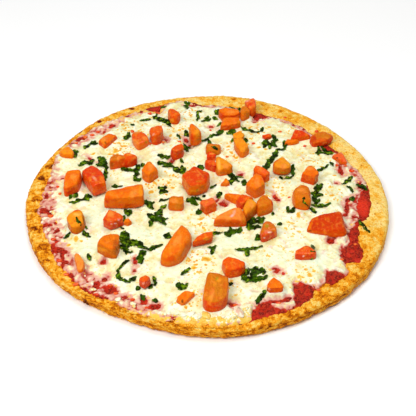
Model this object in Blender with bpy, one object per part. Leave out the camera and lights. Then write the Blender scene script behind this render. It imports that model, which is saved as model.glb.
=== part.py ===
"""Thin crust pizza: a flat crust with a low bare rim, a layer of tomato sauce, a ragged layer of
melted cheese with basil shreds fused to it, and chunks of chopped tomato, each a piece of its own.

Lengths in the layout are millimetres, and MM turns them into metres. +X is right, +Y is away from
the eater and +Z is up. The crust's flat base lies on z = 0, with the origin in its middle."""

import math
import random

import bmesh
import bpy
from mathutils import Matrix, Vector, geometry, noise
from mathutils.bvhtree import BVHTree

MM = 0.001
SEED = 11
TURN = 360.0
GAP = 0.35
SEGMENTS = 96

# Crust
CRUST_RADIUS = 127.1
CRUST_WAVES = ((2, 0.7, -104), (3, 1.0, -127), (4, 0.45, 39), (5, 0.45, -37), (7, 0.55, 125), (8, 0.35, -39))
RIM_TOP = 8.4
CRUST_FLOOR = 6.9
SIDE_STEPS = ((3.2, 0.0), (1.0, 1.4), (0.0, 3.5), (0.7, 5.7), (2.3, 7.4))
RIM_LUMP = 0.35
RIM_LUMP_SIZE = 9.0
RIM_CREST_SHARE = 0.45
RIM_LEAST = 6.0
SLOPE_STEPS = (2.0, -1.0, -4.0, -7.0, -10.0)

# Sauce
SAUCE_THICK = 1.0
SAUCE_LIP = 0.45
SAUCE_LIP_WIDTH = 3.0

# Cheese
CHEESE_THICK = 2.3
CHEESE_LIP = 0.7
CHEESE_LIP_WIDTH = 7.0
CHEESE_LUMP = 0.35
CHEESE_LUMP_SIZE = 17.0
CHEESE_RAGGED = 1.3
CHEESE_RAGGED_SIZE = 6.0
CHEESE_OUTLINE_POINTS = 180
CHEESE_TOP_SPACING = 7.0
CHEESE_BASE_SPACING = 15.0
CHEESE_OVERHANG = 3.0
HOLE_POINTS = 10

# Tomato
TOMATO_ROUNDING = 1.0
TOMATO_FOOT = 1.0
TOMATO_TAPER = 0.92
TOMATO_JITTER = 0.06

# Basil
SHRED_THICK = 0.7
SHRED_ROOT = 0.6
SHRED_STEP = 3.6
SHRED_RIPPLE = 0.4
SHRED_CLEAR = 0.8
SHRED_SHORTEST = 4.0

# The layout's own middle, seen from the middle of the crust
LAYOUT_MIDDLE = (0.25, -1.0)

# Angle from +X in degrees, and the radius that the sauce reaches there
SAUCE_REACH = (
    (0, 113), (8, 115), (13, 114), (20, 111), (27, 113), (36, 114), (44, 112), (50, 113),
    (56, 110), (62, 109), (68, 110), (80, 113), (92, 115), (98, 121), (104, 121), (110, 119),
    (120, 117), (128, 118), (136, 118), (145, 120), (155, 120), (165, 117), (172, 116),
    (180, 115), (190, 116), (200, 116), (208, 117), (214, 119), (220, 121), (228, 122),
    (236, 119), (245, 121), (255, 120), (264, 120), (272, 121), (280, 122), (290, 121),
    (298, 121), (305, 121), (312, 123), (320, 122), (327, 123), (332, 119), (336, 114),
    (342, 113), (348, 113), (355, 115),
)  # fmt: skip

# The same for the cheese, whose edge draws back where the sauce lies bare
CHEESE_REACH = (
    (0, 101), (5, 108), (10, 110), (15, 109), (20, 106), (25, 108), (30, 107), (35, 107),
    (40, 98), (45, 107), (50, 109), (55, 107), (60, 103), (64, 100), (68, 95), (72, 99),
    (76, 105), (82, 109), (90, 109), (94, 110), (98, 117), (103, 118), (107, 113), (111, 105),
    (115, 106), (119, 110), (126, 111), (132, 112), (138, 110), (144, 112), (150, 113),
    (156, 115), (163, 113), (170, 112), (178, 110), (186, 108), (191, 111), (196, 107),
    (202, 110), (207, 108), (211, 106), (216, 108), (221, 110), (225, 113), (230, 113),
    (233, 108), (237, 103), (241, 108), (245, 113), (248, 106), (251, 108), (254, 104),
    (259, 110), (263, 114), (268, 117), (274, 118), (279, 119), (283, 114), (286, 106),
    (290, 108), (294, 116), (297, 114), (300, 99), (304, 99), (307, 108), (311, 107),
    (314, 105), (319, 106), (323, 103), (326, 98), (331, 99), (335, 104), (339, 98),
    (343, 100), (349, 103), (355, 101),
)  # fmt: skip

# Bare spots inside the cheese: x, y, half length, half width, turn
CHEESE_HOLES = (
    (45, -74, 4.5, 2.8, -20),
    (11, -7, 3.2, 2.8, 0),
    (79.5, -45.5, 2.8, 2.2, 0),
    (-27, -24, 3.5, 2.4, 10),
    (-47, -72, 2.4, 4.0, 0),
    (-68, -67, 3.0, 2.4, 0),
    (24, 24, 2.5, 2.2, 0),
)

# Corners of a chunk's outline, in shares of its half length and half width
CHUNK_KINDS = {
    "block": ((-1, -0.9), (0.95, -1), (1, 0.92), (-0.92, 1)),
    "rhomb": ((-1, -0.5), (0.45, -1), (1, 0.45), (-0.5, 1)),
    "wedge": ((-1, -0.55), (0.9, -1), (1, 0.95), (-1, 0.5)),
    "gem": ((-0.6, -1), (0.5, -0.95), (1, 0.1), (0.2, 1), (-1, 0.45)),
    "tip": ((-1, -0.9), (1, -0.95), (0.1, 1)),
    "oval": ((-0.5, -1), (0.6, -0.95), (1, 0.1), (0.5, 1), (-0.6, 0.95), (-1, -0.1)),
    "slice": ((-1, -0.5), (-0.7, -1), (0.7, -1), (1, -0.5), (0.8, 0.8), (-0.7, 0.9)),
}

# Name: x, y, length, width, height, turn, kind of outline
TOMATOES = {
    "edge_left": (-103.5, 46, 10, 8, 6, 10, "gem"),
    "leaf_lean": (-75.2, 60.7, 16, 8.5, 5, 26, "rhomb"),
    "seeded": (-50.5, 59.5, 14, 10, 6, -28, "gem"),
    "twin_left": (-67, 33.2, 9.6, 9.5, 8, 0, "block"),
    "twin_right": (-56.2, 34.5, 10, 9.5, 8, 8, "block"),
    "far_left": (-95.3, 7.5, 18, 12, 9, 98, "block"),
    "slant_left": (-81, 10.5, 20.5, 12, 8, -60, "block"),
    "diamond": (-41.7, 21.3, 13, 11.5, 8, 40, "gem"),
    "loaf": (-59.5, -6.3, 27, 12.5, 9, 12, "block"),
    "wet_left": (-65, -29.5, 14, 11.5, 7, -20, "gem"),
    "wet_side": (-53.5, -31, 5.5, 5, 5, 0, "block"),
    "button_left": (-89, -33, 17, 12.5, 8, 95, "oval"),
    "ridge": (-66, -58.3, 15.5, 13, 9, 12, "rhomb"),
    "cube_mid": (-22, -13.6, 11.5, 8.5, 7, 0, "block"),
    "heart": (-7.7, 10.8, 20.5, 18.5, 8, -35, "gem"),
    "crumb_mid": (12.5, 11.8, 9, 6, 4, 15, "tip"),
    "stack_top": (4, 51, 10, 7, 5, 0, "block"),
    "stack_mid": (0.5, 41, 7, 4.5, 4, 0, "block"),
    "stack_low": (-0.5, 30, 8.5, 7, 6, 10, "block"),
    "shell": (12.4, 28, 14, 13.5, 8, 0, "oval"),
    "golden_top": (22, 66.4, 9, 6.5, 4.5, 0, "block"),
    "golden_low": (26, 50.5, 14, 8.5, 6, -60, "block"),
    "wedge_back": (-9.5, 64.5, 14, 10.5, 10.5, 85, "wedge"),
    "back_left": (-26.5, 90.2, 10.5, 11, 8, 12, "block"),
    "upright_left": (-38.5, 65.5, 14, 10, 9, 93, "block"),
    "small_left": (-23, 44.5, 9.5, 8, 6, 30, "block"),
    "slab_back": (16, 94.4, 15.5, 9, 6, 0, "block"),
    "slab_front": (17, 80, 13.5, 8.5, 6, 22, "wedge"),
    "back_tall": (33, 102, 11.5, 9, 10, 80, "block"),
    "back_low": (29.1, 89.5, 8.5, 7.5, 7, 0, "gem"),
    "dull_bead": (44, 66, 8, 5, 4, 10, "oval"),
    "red_wedge": (70.8, 68, 12, 7, 5, -15, "wedge"),
    "red_tail": (64, 59.8, 11.5, 4.5, 3, 15, "tip"),
    "rim_right": (87.3, 64.3, 17.5, 8.5, 5, -12, "oval"),
    "low_right": (96.5, 41.5, 9.5, 8.5, 4, 0, "block"),
    "ringed": (54, 29, 13.5, 12.5, 7, 20, "gem"),
    "right_gem": (72.5, 16.8, 14, 12.5, 8, 30, "gem"),
    "pair_back": (38.7, 20.2, 11.5, 8, 7, -35, "block"),
    "pair_front": (33.5, 3.5, 12.5, 12, 10, 45, "rhomb"),
    "cluster_a": (15.5, -8.5, 11.5, 6.5, 6, -28, "wedge"),
    "cluster_b": (26, -10.8, 8.5, 5.5, 7, -15, "block"),
    "cluster_c": (29, -22.5, 12, 9.5, 8, 85, "oval"),
    "cluster_d": (40.2, -16, 12, 10.5, 8, 75, "oval"),
    "fan": (15, -29.5, 24.5, 11, 7, -3, "tip"),
    "pink_cube": (-0.5, -15.5, 12, 10, 7, 8, "block"),
    "brown_cube": (65.5, -7.6, 16.5, 12, 9, 85, "oval"),
    "red_tile": (80.3, -35.5, 24.5, 16.5, 7, 3, "block"),
    "wet_mid": (41.1, -43.3, 12.5, 12, 8, -10, "oval"),
    "boat": (-21.8, -56.3, 32, 13, 10, 63, "slice"),
    "boat_fin": (-3.5, -48.5, 15, 5.5, 5, 28, "wedge"),
    "pentagon": (15.7, -77.6, 17.5, 12.5, 7, -20, "gem"),
    "big_block": (5, -100.5, 23, 14.5, 11, 84, "block"),
    "front_flake": (-14, -102.8, 13.5, 7.5, 4, 28, "rhomb"),
    "front_tip": (43, -92, 12.5, 9, 6, 0, "tip"),
    "strapped": (63.5, -63.8, 13, 8, 6, 5, "block"),
    "left_sliver": (-83.3, -72.3, 14, 6.5, 6, -70, "wedge"),
    "front_bead": (-39.5, -89.3, 10, 7, 5, 10, "gem"),
}

# Basil shreds: x, y, length, heading, bend, width
SHREDS = (
    (-99, 48, 12, 80, 20, 3.5), (-86, 57, 17, 10, -80, 3), (-61, 67, 9, 20, 30, 3),
    (-45, 89, 14, 3, 20, 2.6), (-33, 85, 14, -50, -50, 3), (-42, 96, 8, 75, 10, 2.4),
    (-17, 112, 15, 95, 20, 3.5), (-7.5, 94, 14, 95, 40, 2.4), (1, 89, 16, 15, -80, 2.4),
    (6.5, 101.5, 8, -65, 0, 3.5), (-16, 57, 12, -85, 30, 3), (-27, 41, 20, -8, 35, 3),
    (2, 66, 28, 42, 10, 2.8), (33, 76.5, 20, -25, 20, 2.8), (45, 59, 13, -15, 30, 3.5),
    (51.5, 65.5, 8, -60, 0, 2.4), (58, 56.5, 10, -80, 40, 2.4), (49, 42, 24, -122, -10, 3),
    (81.5, 52, 14, 75, 20, 2.6), (89, 52, 10, -50, 30, 4), (53, 20.5, 12, -25, 70, 2.4),
    (63.5, 28, 12, 80, 20, 2.4), (84, 28.5, 12, 45, 10, 2.6), (90.5, 31, 9, -65, -20, 2.6),
    (101, 15.5, 12, 45, 40, 2.6), (100.5, 6, 8, -50, 0, 2.4), (105, -32, 12, -63, 0, 2.2),
    (78, 2, 14, 75, 30, 3.5), (78, -8, 12, 100, -40, 4), (79, -14, 13, -5, 15, 2.6),
    (70, -18, 10, -50, 20, 2.6), (54, -18.5, 9, -60, 40, 3), (1, 24, 13, -30, 10, 2.6),
    (18, 18, 11, -8, -10, 2.6), (2, 0, 8, 25, 0, 3), (-12, -7, 11, -50, 0, 3.5),
    (-7, -22, 8, 10, 30, 3.5), (33, -30, 13, 75, 20, 4), (28, -34, 12, 60, -40, 4),
    (32, -47, 9, -80, 0, 3), (15.5, -40.5, 10, 20, 30, 5), (6, -41, 8, 15, 0, 3.5),
    (-32, 5, 10, 60, 30, 3), (-26, 30, 22, -38, -30, 3), (-42, -13, 12, -58, -20, 3.5),
    (-35, -18, 13, -110, 20, 3.5), (-39, -27, 12, -60, 30, 3.5), (-88, 36, 15, 42, 0, 3.2),
    (-77, 37, 11, -10, 30, 4.5), (-72, 21, 13, -82, 20, 2.4), (-61, 27.5, 16, 8, 30, 2.8),
    (-49.5, 25, 13, -82, -20, 2.8), (-50, 12, 8, 5, 20, 2.6), (-67, 7, 8, 5, 20, 2.6),
    (-86, -7, 20, 25, -15, 3), (-57, -20, 18, -88, 10, 2.8), (-82, -44, 12, -52, 30, 2.8),
    (-55, -49, 16, -80, 20, 4.5), (-45, -51, 15, -38, 20, 4.5), (-54, -61, 13, 20, -50, 3.5),
    (-38, -59, 9, 22, 0, 2.4), (-43.5, -62, 14, -85, 20, 4), (-56, -74, 18, -92, 60, 2.4),
    (-51, -86, 13, 10, 70, 2.6), (-34, -87, 11, -85, 15, 2.4), (-41, -96, 9, -25, 60, 2.6),
    (3, -57, 9, -110, 20, 2.4), (27, -56, 19, 10, 10, 2.2), (27, -83.5, 12, 15, 40, 5),
    (33, -79, 9, 70, -30, 3.5), (-15, -78, 8, 55, 0, 2.6), (-16.5, -91, 9, -40, 60, 2.6),
    (33, -99, 10, 45, 20, 2.6), (-76, -64, 8, -80, 30, 2.4),
)  # fmt: skip


def smooth_step(share):
    share = min(max(share, 0.0), 1.0)
    return share * share * (3 - 2 * share)


def ring_value(knots, angle):
    """The value at an angle, on a smooth closed run through (angle, value) knots."""
    angle %= TURN
    for (low, start), (high, end) in zip(knots, knots[1:] + ((TURN + knots[0][0], knots[0][1]),)):
        if low <= angle < high:
            return start + (end - start) * smooth_step((angle - low) / (high - low))
    return knots[0][1]


def lump(x, y, z, size):
    """A soft random height from -1 to 1 whose bumps are about as wide as the size."""
    return noise.noise(Vector((x / size, y / size, z / size + SEED)))


def polar(x, y):
    return math.hypot(x, y), math.degrees(math.atan2(y, x))


def crust_reach(angle):
    waves = (height * math.cos(math.radians(count * angle - phase)) for count, height, phase in CRUST_WAVES)
    return CRUST_RADIUS + sum(waves)


def sauce_reach(angle):
    return min(ring_value(SAUCE_REACH, angle), crust_reach(angle) - RIM_LEAST)


def cheese_reach(angle):
    """The cheese's edge, with a raggedness finer than its knots, inside the sauce's edge."""
    reach = ring_value(CHEESE_REACH, angle)
    x, y = reach * math.cos(math.radians(angle)), reach * math.sin(math.radians(angle))
    reach += CHEESE_RAGGED * lump(x, y, 0, CHEESE_RAGGED_SIZE)
    return min(reach, sauce_reach(angle) - 2)


def crust_height(radius, angle):
    """The crust's upper face: a low rim that slopes down to a flat floor under the sauce."""
    slope_start = sauce_reach(angle) + SLOPE_STEPS[0]
    slope_width = SLOPE_STEPS[0] - SLOPE_STEPS[-1]
    down = smooth_step((slope_start - radius) / slope_width)
    return RIM_TOP + (CRUST_FLOOR - RIM_TOP) * down


def sauce_height(radius, angle):
    """The sauce's upper face, thinner in a lip along its edge."""
    inside = smooth_step((sauce_reach(angle) + SLOPE_STEPS[1] - radius) / SAUCE_LIP_WIDTH)
    thick = SAUCE_LIP + (SAUCE_THICK - SAUCE_LIP) * inside
    return crust_height(radius, angle) + GAP + thick


def hole_distance(x, y):
    """How far a place is from the nearest bare spot's edge, negative inside one."""
    nearest = CHEESE_LIP_WIDTH
    for hole_x, hole_y, half_length, half_width, turn in CHEESE_HOLES:
        offset = Vector((x - hole_x, y - hole_y))
        offset.rotate(turned(-turn))
        reach = math.hypot(offset.x / half_length, offset.y / half_width)
        nearest = min(nearest, (reach - 1) * min(half_length, half_width))
    return nearest


def cheese_base(x, y):
    radius, angle = polar(x, y)
    return sauce_height(radius + CHEESE_OVERHANG, angle) + GAP


def cheese_height(x, y):
    """The cheese's upper face: soft lumps, drawn down to a thin lip at every edge."""
    radius, angle = polar(x, y)
    inside = smooth_step(min(cheese_reach(angle) - radius, hole_distance(x, y)) / CHEESE_LIP_WIDTH)
    full = CHEESE_THICK + CHEESE_LUMP * lump(x, y, 0, CHEESE_LUMP_SIZE)
    return cheese_base(x, y) + CHEESE_LIP + (full - CHEESE_LIP) * inside


def turned(degrees):
    """A 2D turn, as the matrix that Vector.rotate takes."""
    return Matrix.Rotation(math.radians(degrees), 2)


def material(name, colour, roughness):
    made = bpy.data.materials.new(name)
    made.use_nodes = True
    shader = made.node_tree.nodes["Principled BSDF"]
    shader.inputs["Base Color"].default_value = (*colour, 1)
    shader.inputs["Roughness"].default_value = roughness
    return made


def add_object(name, shape, finish):
    """Turns a bmesh in millimetres into an object in metres."""
    bmesh.ops.scale(shape, vec=(MM, MM, MM), verts=shape.verts)
    bmesh.ops.recalc_face_normals(shape, faces=shape.faces)
    mesh = bpy.data.meshes.new(name)
    shape.to_mesh(mesh)
    shape.free()
    mesh.materials.append(finish)
    piece = bpy.data.objects.new(name, mesh)
    bpy.context.scene.collection.objects.link(piece)
    return piece


def ring(shape, radius_at, height_at):
    """One closed ring of vertices, whose radius and height depend on the angle."""
    verts = []
    for step in range(SEGMENTS):
        angle = TURN * step / SEGMENTS
        radius = radius_at(angle)
        x, y = radius * math.cos(math.radians(angle)), radius * math.sin(math.radians(angle))
        verts.append(shape.verts.new((x, y, height_at(radius, angle, x, y))))
    return verts


def skin_rings(shape, rings):
    """Quads between neighbouring rings, and a flat lid on the first and on the last."""
    for low, high in zip(rings, rings[1:]):
        for step in range(SEGMENTS):
            after = (step + 1) % SEGMENTS
            shape.faces.new((low[step], low[after], high[after], high[step]))
    shape.faces.new(list(reversed(rings[0])))
    shape.faces.new(rings[-1])


def make_crust(finish):
    shape = bmesh.new()
    rings = []
    for inset, level in SIDE_STEPS:
        rough = 0 if level == 0 else RIM_LUMP

        def side_radius(angle, inset=inset, level=level, rough=rough):
            reach = crust_reach(angle)
            x, y = reach * math.cos(math.radians(angle)), reach * math.sin(math.radians(angle))
            return reach - inset - rough * (1 + lump(x, y, level, RIM_LUMP_SIZE))

        rings.append(ring(shape, side_radius, lambda radius, angle, x, y, level=level: level))

    def crest_radius(angle):
        outer, inner = crust_reach(angle) - SIDE_STEPS[-1][0], sauce_reach(angle) + SLOPE_STEPS[0]
        return outer + (inner - outer) * RIM_CREST_SHARE

    def crest_height(radius, angle, x, y):
        return RIM_TOP + RIM_LUMP * lump(x, y, 0, RIM_LUMP_SIZE)

    rings.append(ring(shape, crest_radius, crest_height))
    for step in SLOPE_STEPS:
        rings.append(
            ring(
                shape,
                lambda angle, step=step: sauce_reach(angle) + step,
                lambda radius, angle, x, y: crust_height(radius, angle),
            )
        )
    skin_rings(shape, rings)
    return add_object("crust", shape, finish)


def make_sauce(finish):
    """The sauce shares the crust's rings, so that the gap under it is even."""
    shape = bmesh.new()
    steps = SLOPE_STEPS[1:]
    rings = []
    for step in reversed(steps):
        rings.append(
            ring(
                shape,
                lambda angle, step=step: sauce_reach(angle) + step,
                lambda radius, angle, x, y: crust_height(radius, angle) + GAP,
            )
        )
    for step in steps:
        rings.append(
            ring(
                shape,
                lambda angle, step=step: sauce_reach(angle) + step,
                lambda radius, angle, x, y: sauce_height(radius, angle),
            )
        )
    skin_rings(shape, rings)
    return add_object("tomato_sauce", shape, finish)


def cheese_loops():
    """The cheese's outline and the outline of each bare spot in it."""
    outline = []
    for step in range(CHEESE_OUTLINE_POINTS):
        angle = TURN * step / CHEESE_OUTLINE_POINTS
        reach = cheese_reach(angle)
        outline.append(Vector((reach * math.cos(math.radians(angle)), reach * math.sin(math.radians(angle)))))
    loops = [outline]
    for hole_x, hole_y, half_length, half_width, turn in CHEESE_HOLES:
        loop = []
        for step in range(HOLE_POINTS):
            angle = math.tau * step / HOLE_POINTS
            corner = Vector((half_length * math.cos(angle), half_width * math.sin(angle)))
            corner.rotate(turned(turn))
            loop.append(corner + Vector((hole_x, hole_y)))
        loops.append(loop)
    return loops


def spread_points(spacing):
    """Points in staggered rows that keep half a spacing from every edge of the cheese."""
    points = []
    row_step = spacing * math.sqrt(3) / 2
    rows = int(CRUST_RADIUS / row_step)
    columns = int(CRUST_RADIUS / spacing) + 1
    for row in range(-rows, rows + 1):
        for column in range(-columns, columns + 1):
            x, y = (column + 0.5 * (row % 2)) * spacing, row * row_step
            radius, angle = polar(x, y)
            if cheese_reach(angle) - radius > spacing / 2 and hole_distance(x, y) > spacing / 4:
                points.append(Vector((x, y)))
    return points


def fill_plan(loops, points):
    """Plan triangles inside the outline and outside the bare spots. Loop points come first."""
    spots = [corner for loop in loops for corner in loop] + points
    edges = []
    start = 0
    for loop in loops:
        edges += [(start + k, start + (k + 1) % len(loop)) for k in range(len(loop))]
        start += len(loop)
    places, _, faces, *_ = geometry.delaunay_2d_cdt(spots, edges, [], 0, 1e-5)
    kept = []
    for face in faces:
        middle = sum((places[k] for k in face), Vector((0, 0))) / len(face)
        in_bare_spot = any(inside_loop(middle, loop) for loop in loops[1:])
        if inside_loop(middle, loops[0]) and not in_bare_spot:
            kept.append(face)
    return places, kept, edges


def inside_loop(spot, loop):
    """Whether a place lies in a closed loop, by counting the edges to its right."""
    inside = False
    for start, end in zip(loop, loop[1:] + loop[:1]):
        if (start.y > spot.y) != (end.y > spot.y):
            crossing = start.x + (spot.y - start.y) * (end.x - start.x) / (end.y - start.y)
            if crossing > spot.x:
                inside = not inside
    return inside


def make_cheese_layer(finish):
    loops = cheese_loops()
    shape = bmesh.new()
    layers = []
    for spacing, height_at in ((CHEESE_TOP_SPACING, cheese_height), (CHEESE_BASE_SPACING, cheese_base)):
        places, faces, edges = fill_plan(loops, spread_points(spacing))
        verts = [shape.verts.new((spot.x, spot.y, height_at(spot.x, spot.y))) for spot in places]
        for face in faces:
            shape.faces.new([verts[k] for k in face])
        layers.append(verts)
    top, base = layers
    for start, end in edges:
        shape.faces.new((base[start], base[end], top[end], top[start]))
    return add_object("cheese", shape, finish)


def tomato_outline(size, turn, kind, share):
    """A chunk's outline round its own middle, at a share of its full size."""
    corners = []
    for x, y in CHUNK_KINDS[kind]:
        corner = Vector((x * size[0] / 2 * share, y * size[1] / 2 * share))
        corner.rotate(turned(turn))
        corners.append(corner)
    return corners


def place_in_layout(x, y):
    return Vector((x + LAYOUT_MIDDLE[0], y + LAYOUT_MIDDLE[1]))


def highest_under(outline, carriers):
    """The highest point of what carries a chunk, found by rays over its outline."""
    highest = 0.0
    low_x, high_x = min(c.x for c in outline), max(c.x for c in outline)
    low_y, high_y = min(c.y for c in outline), max(c.y for c in outline)
    for x in range(math.floor(low_x), math.ceil(high_x) + 1):
        for y in range(math.floor(low_y), math.ceil(high_y) + 1):
            for carrier in carriers:
                hit = carrier.ray_cast(Vector((x * MM, y * MM, 1)), Vector((0, 0, -1)))[0]
                if hit:
                    highest = max(highest, hit.z / MM)
    return highest


def make_tomato(name, row, carriers, chance, finish):
    """A cut chunk with a flat foot, a smaller uneven top and rounded edges."""
    x, y, length, width, height, turn, kind = row
    middle = place_in_layout(x, y)
    foot_outline = tomato_outline((length, width), turn, kind, TOMATO_FOOT)
    top_outline = tomato_outline((length, width), turn, kind, TOMATO_TAPER)
    spread = TOMATO_JITTER * width
    foot_z = highest_under([corner + middle for corner in foot_outline], carriers) + GAP
    shape = bmesh.new()
    foot = [shape.verts.new((*(corner + middle), foot_z)) for corner in foot_outline]
    top = []
    for corner in top_outline:
        spot = corner + middle + Vector((chance.uniform(-spread, spread), chance.uniform(-spread, spread)))
        top.append(shape.verts.new((*spot, foot_z + height * chance.uniform(0.86, 1.0))))
    count = len(foot)
    shape.faces.new(list(reversed(foot)))
    shape.faces.new(top)
    for k in range(count):
        after = (k + 1) % count
        shape.faces.new((foot[k], foot[after], top[after], top[k]))
    rounding = min(TOMATO_ROUNDING, height / 5, width / 6)
    bmesh.ops.bevel(shape, geom=shape.edges[:], offset=rounding, segments=1, affect="EDGES")
    return add_object("tomato_" + name, shape, finish)


def clear_of_tomatoes(spot, reach):
    """Whether a shred of this reach may pass here without touching a chunk."""
    for x, y, length, width, _, turn, kind in TOMATOES.values():
        middle = place_in_layout(x, y)
        offset = spot - middle
        if offset.length > length + reach:
            continue
        outline = tomato_outline((length, width), turn, kind, 1.0)
        if inside_loop(offset, outline):
            return False
        for start, end in zip(outline, outline[1:] + outline[:1]):
            nearest, share = geometry.intersect_point_line(offset, start, end)
            nearest = nearest if 0 <= share <= 1 else (start if share < 0 else end)
            if (offset - nearest.to_2d()).length < reach:
                return False
    return True


def shred_runs(row):
    """Stations along a bent shred, cut into runs where a tomato chunk is in its way."""
    x, y, length, heading, bend, width = row
    steps = max(2, round(length / SHRED_STEP))
    spot = Vector((0, 0))
    spots = [spot.copy()]
    for step in range(steps):
        angle = math.radians(heading + bend * ((step + 0.5) / steps - 0.5))
        spot += Vector((math.cos(angle), math.sin(angle))) * length / steps
        spots.append(spot.copy())
    shift = place_in_layout(x, y) - sum(spots, Vector((0, 0))) / len(spots)
    runs = [[]]
    for spot in (spot + shift for spot in spots):
        radius, angle = polar(*spot)
        on_cheese = cheese_reach(angle) - radius > width / 2 + 1 and hole_distance(*spot) > width / 2
        if on_cheese and clear_of_tomatoes(spot, width / 2 + SHRED_CLEAR):
            runs[-1].append(spot)
        elif runs[-1]:
            runs.append([])
    return [run for run in runs if len(run) > 1 and (run[-1] - run[0]).length > SHRED_SHORTEST]


def make_shred(run, width, chance, finish):
    """A thin rippled strip, rooted in the cheese along its whole length."""
    shape = bmesh.new()
    phase = chance.uniform(0, math.tau)
    sections = []
    for k, spot in enumerate(run):
        along = (run[min(k + 1, len(run) - 1)] - run[max(k - 1, 0)]).normalized()
        side = Vector((-along.y, along.x))
        share = k / (len(run) - 1)
        half = width / 2 * (0.55 + 0.45 * math.sin(math.pi * share))
        ripple = SHRED_RIPPLE * math.sin(phase + 2.2 * k)
        section = []
        for sign in (-1, 1):
            edge = spot + side * half * sign
            surface = cheese_height(edge.x, edge.y)
            lift = SHRED_THICK + SHRED_RIPPLE + ripple * sign
            section.append(((edge.x, edge.y, surface - SHRED_ROOT), (edge.x, edge.y, surface + lift)))
        corners = (section[0][0], section[1][0], section[1][1], section[0][1])
        sections.append([shape.verts.new(corner) for corner in corners])
    for before, after in zip(sections, sections[1:]):
        for k in range(4):
            nxt = (k + 1) % 4
            shape.faces.new((before[k], before[nxt], after[nxt], after[k]))
    shape.faces.new(list(reversed(sections[0])))
    shape.faces.new(sections[-1])
    return add_object("shred", shape, finish)


def fuse_shreds(cheese, finish, chance):
    """Joins every shred to the cheese by one union on a collection, then clears the collection."""
    group = bpy.data.collections.new("shreds")
    for row in SHREDS:
        for run in shred_runs(row):
            shred = make_shred(run, row[-1], chance, finish)
            bpy.context.scene.collection.objects.unlink(shred)
            group.objects.link(shred)
    union = cheese.modifiers.new("shreds", "BOOLEAN")
    union.operation = "UNION"
    union.operand_type = "COLLECTION"
    union.collection = group
    union.solver = "EXACT"
    bpy.context.view_layer.update()
    fused = bpy.data.meshes.new_from_object(cheese.evaluated_get(bpy.context.evaluated_depsgraph_get()))
    cheese.modifiers.clear()
    cheese.data = fused
    for shred in list(group.objects):
        bpy.data.objects.remove(shred)
    bpy.data.collections.remove(group)


def surface_of(piece):
    shape = bmesh.new()
    shape.from_mesh(piece.data)
    tree = BVHTree.FromBMesh(shape)
    shape.free()
    return tree


def main():
    for leftover in list(bpy.data.objects):
        bpy.data.objects.remove(leftover)
    baked = material("baked crust", (0.80, 0.48, 0.14), 0.75)
    sauce_red = material("tomato sauce", (0.45, 0.03, 0.01), 0.35)
    melted = material("melted cheese", (0.95, 0.86, 0.60), 0.45)
    tomato_red = material("tomato flesh", (0.82, 0.16, 0.03), 0.3)
    basil = material("basil", (0.04, 0.14, 0.01), 0.5)
    chance = random.Random(SEED)
    crust = make_crust(baked)
    sauce = make_sauce(sauce_red)
    cheese = make_cheese_layer(melted)
    fuse_shreds(cheese, basil, chance)
    carriers = [surface_of(piece) for piece in (crust, sauce, cheese)]
    for name, row in TOMATOES.items():
        make_tomato(name, row, carriers, chance, tomato_red)


main()
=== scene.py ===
"""Looks of a thin crust pizza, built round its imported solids.

Lengths are millimetres until a mesh is made, and MM turns them into metres. +X is right, +Y is away
from the eater and +Z is up. The layout was measured on the cheese, seen from the camera."""

import math
import random

import bmesh
import bpy
import numpy as np
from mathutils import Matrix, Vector, geometry
from mathutils.bvhtree import BVHTree


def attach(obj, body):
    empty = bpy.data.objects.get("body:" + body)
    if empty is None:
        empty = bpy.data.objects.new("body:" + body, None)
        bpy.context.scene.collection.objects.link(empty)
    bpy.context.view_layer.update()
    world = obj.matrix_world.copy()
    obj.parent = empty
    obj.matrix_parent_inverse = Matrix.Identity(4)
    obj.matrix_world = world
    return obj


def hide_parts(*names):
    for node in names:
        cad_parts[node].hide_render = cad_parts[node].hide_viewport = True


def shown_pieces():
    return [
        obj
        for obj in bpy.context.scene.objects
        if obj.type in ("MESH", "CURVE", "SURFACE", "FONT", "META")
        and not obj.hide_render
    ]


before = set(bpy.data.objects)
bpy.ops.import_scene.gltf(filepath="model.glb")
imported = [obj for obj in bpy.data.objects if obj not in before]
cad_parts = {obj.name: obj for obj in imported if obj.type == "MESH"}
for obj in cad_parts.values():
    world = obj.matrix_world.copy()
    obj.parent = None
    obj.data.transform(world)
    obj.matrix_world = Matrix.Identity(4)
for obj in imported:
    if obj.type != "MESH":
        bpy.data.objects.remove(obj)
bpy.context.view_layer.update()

MM = 0.001
SEED = 11

# The layout's own middle, seen from the middle of the crust
LAYOUT_MIDDLE = (0.25, -1.0)

# Camera: its angle over the floor, how far it is from the place that it looks at, and its lens
CAMERA_RISE = 40.55
CAMERA_FAR = 680.0
CAMERA_AIM = (0.25, -7.8, 4.0)
CAMERA_LENS = 83.84
SENSOR_WIDTH = 36

# The level on which the layout was measured
LAYOUT_LEVEL = 10.0

# Lamps: name, place in metres, width and power
LAMPS = (
    ("key", (-0.5, -0.55, 0.95), 0.7, 9.8),
    ("top", (0.25, 0.3, 1.2), 0.8, 6.9),
    ("sparkle", (0.2, -0.5, 0.95), 0.07, 1.2),
)
WORLD_STRENGTH = 0.2
FLOOR_SIZE = 6

# Crust: its mean radius, and the waves of its edge as count, size and angle of the first crest
CRUST_RADIUS = 127.1
CRUST_WAVES = (
    (2, 0.7, -104), (3, 1.0, -127), (4, 0.45, 39), (5, 0.45, -37), (7, 0.55, 125), (8, 0.35, -39),
)  # fmt: skip

# The rim's level, the level under the sauce, and the least width of the rim
RIM_TOP = 8.4
CRUST_FLOOR = 6.9
RIM_LEAST = 4.0

# Where the slope between those levels starts and ends, out from the edge of the sauce
SLOPE_OUT = 2.0
SLOPE_IN = -10.0

# Vertices round the crust, and rings of them over the rim and down the slope
CRUST_SEGMENTS = 900
RIM_RINGS = 20
SLOPE_RINGS = 15

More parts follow.
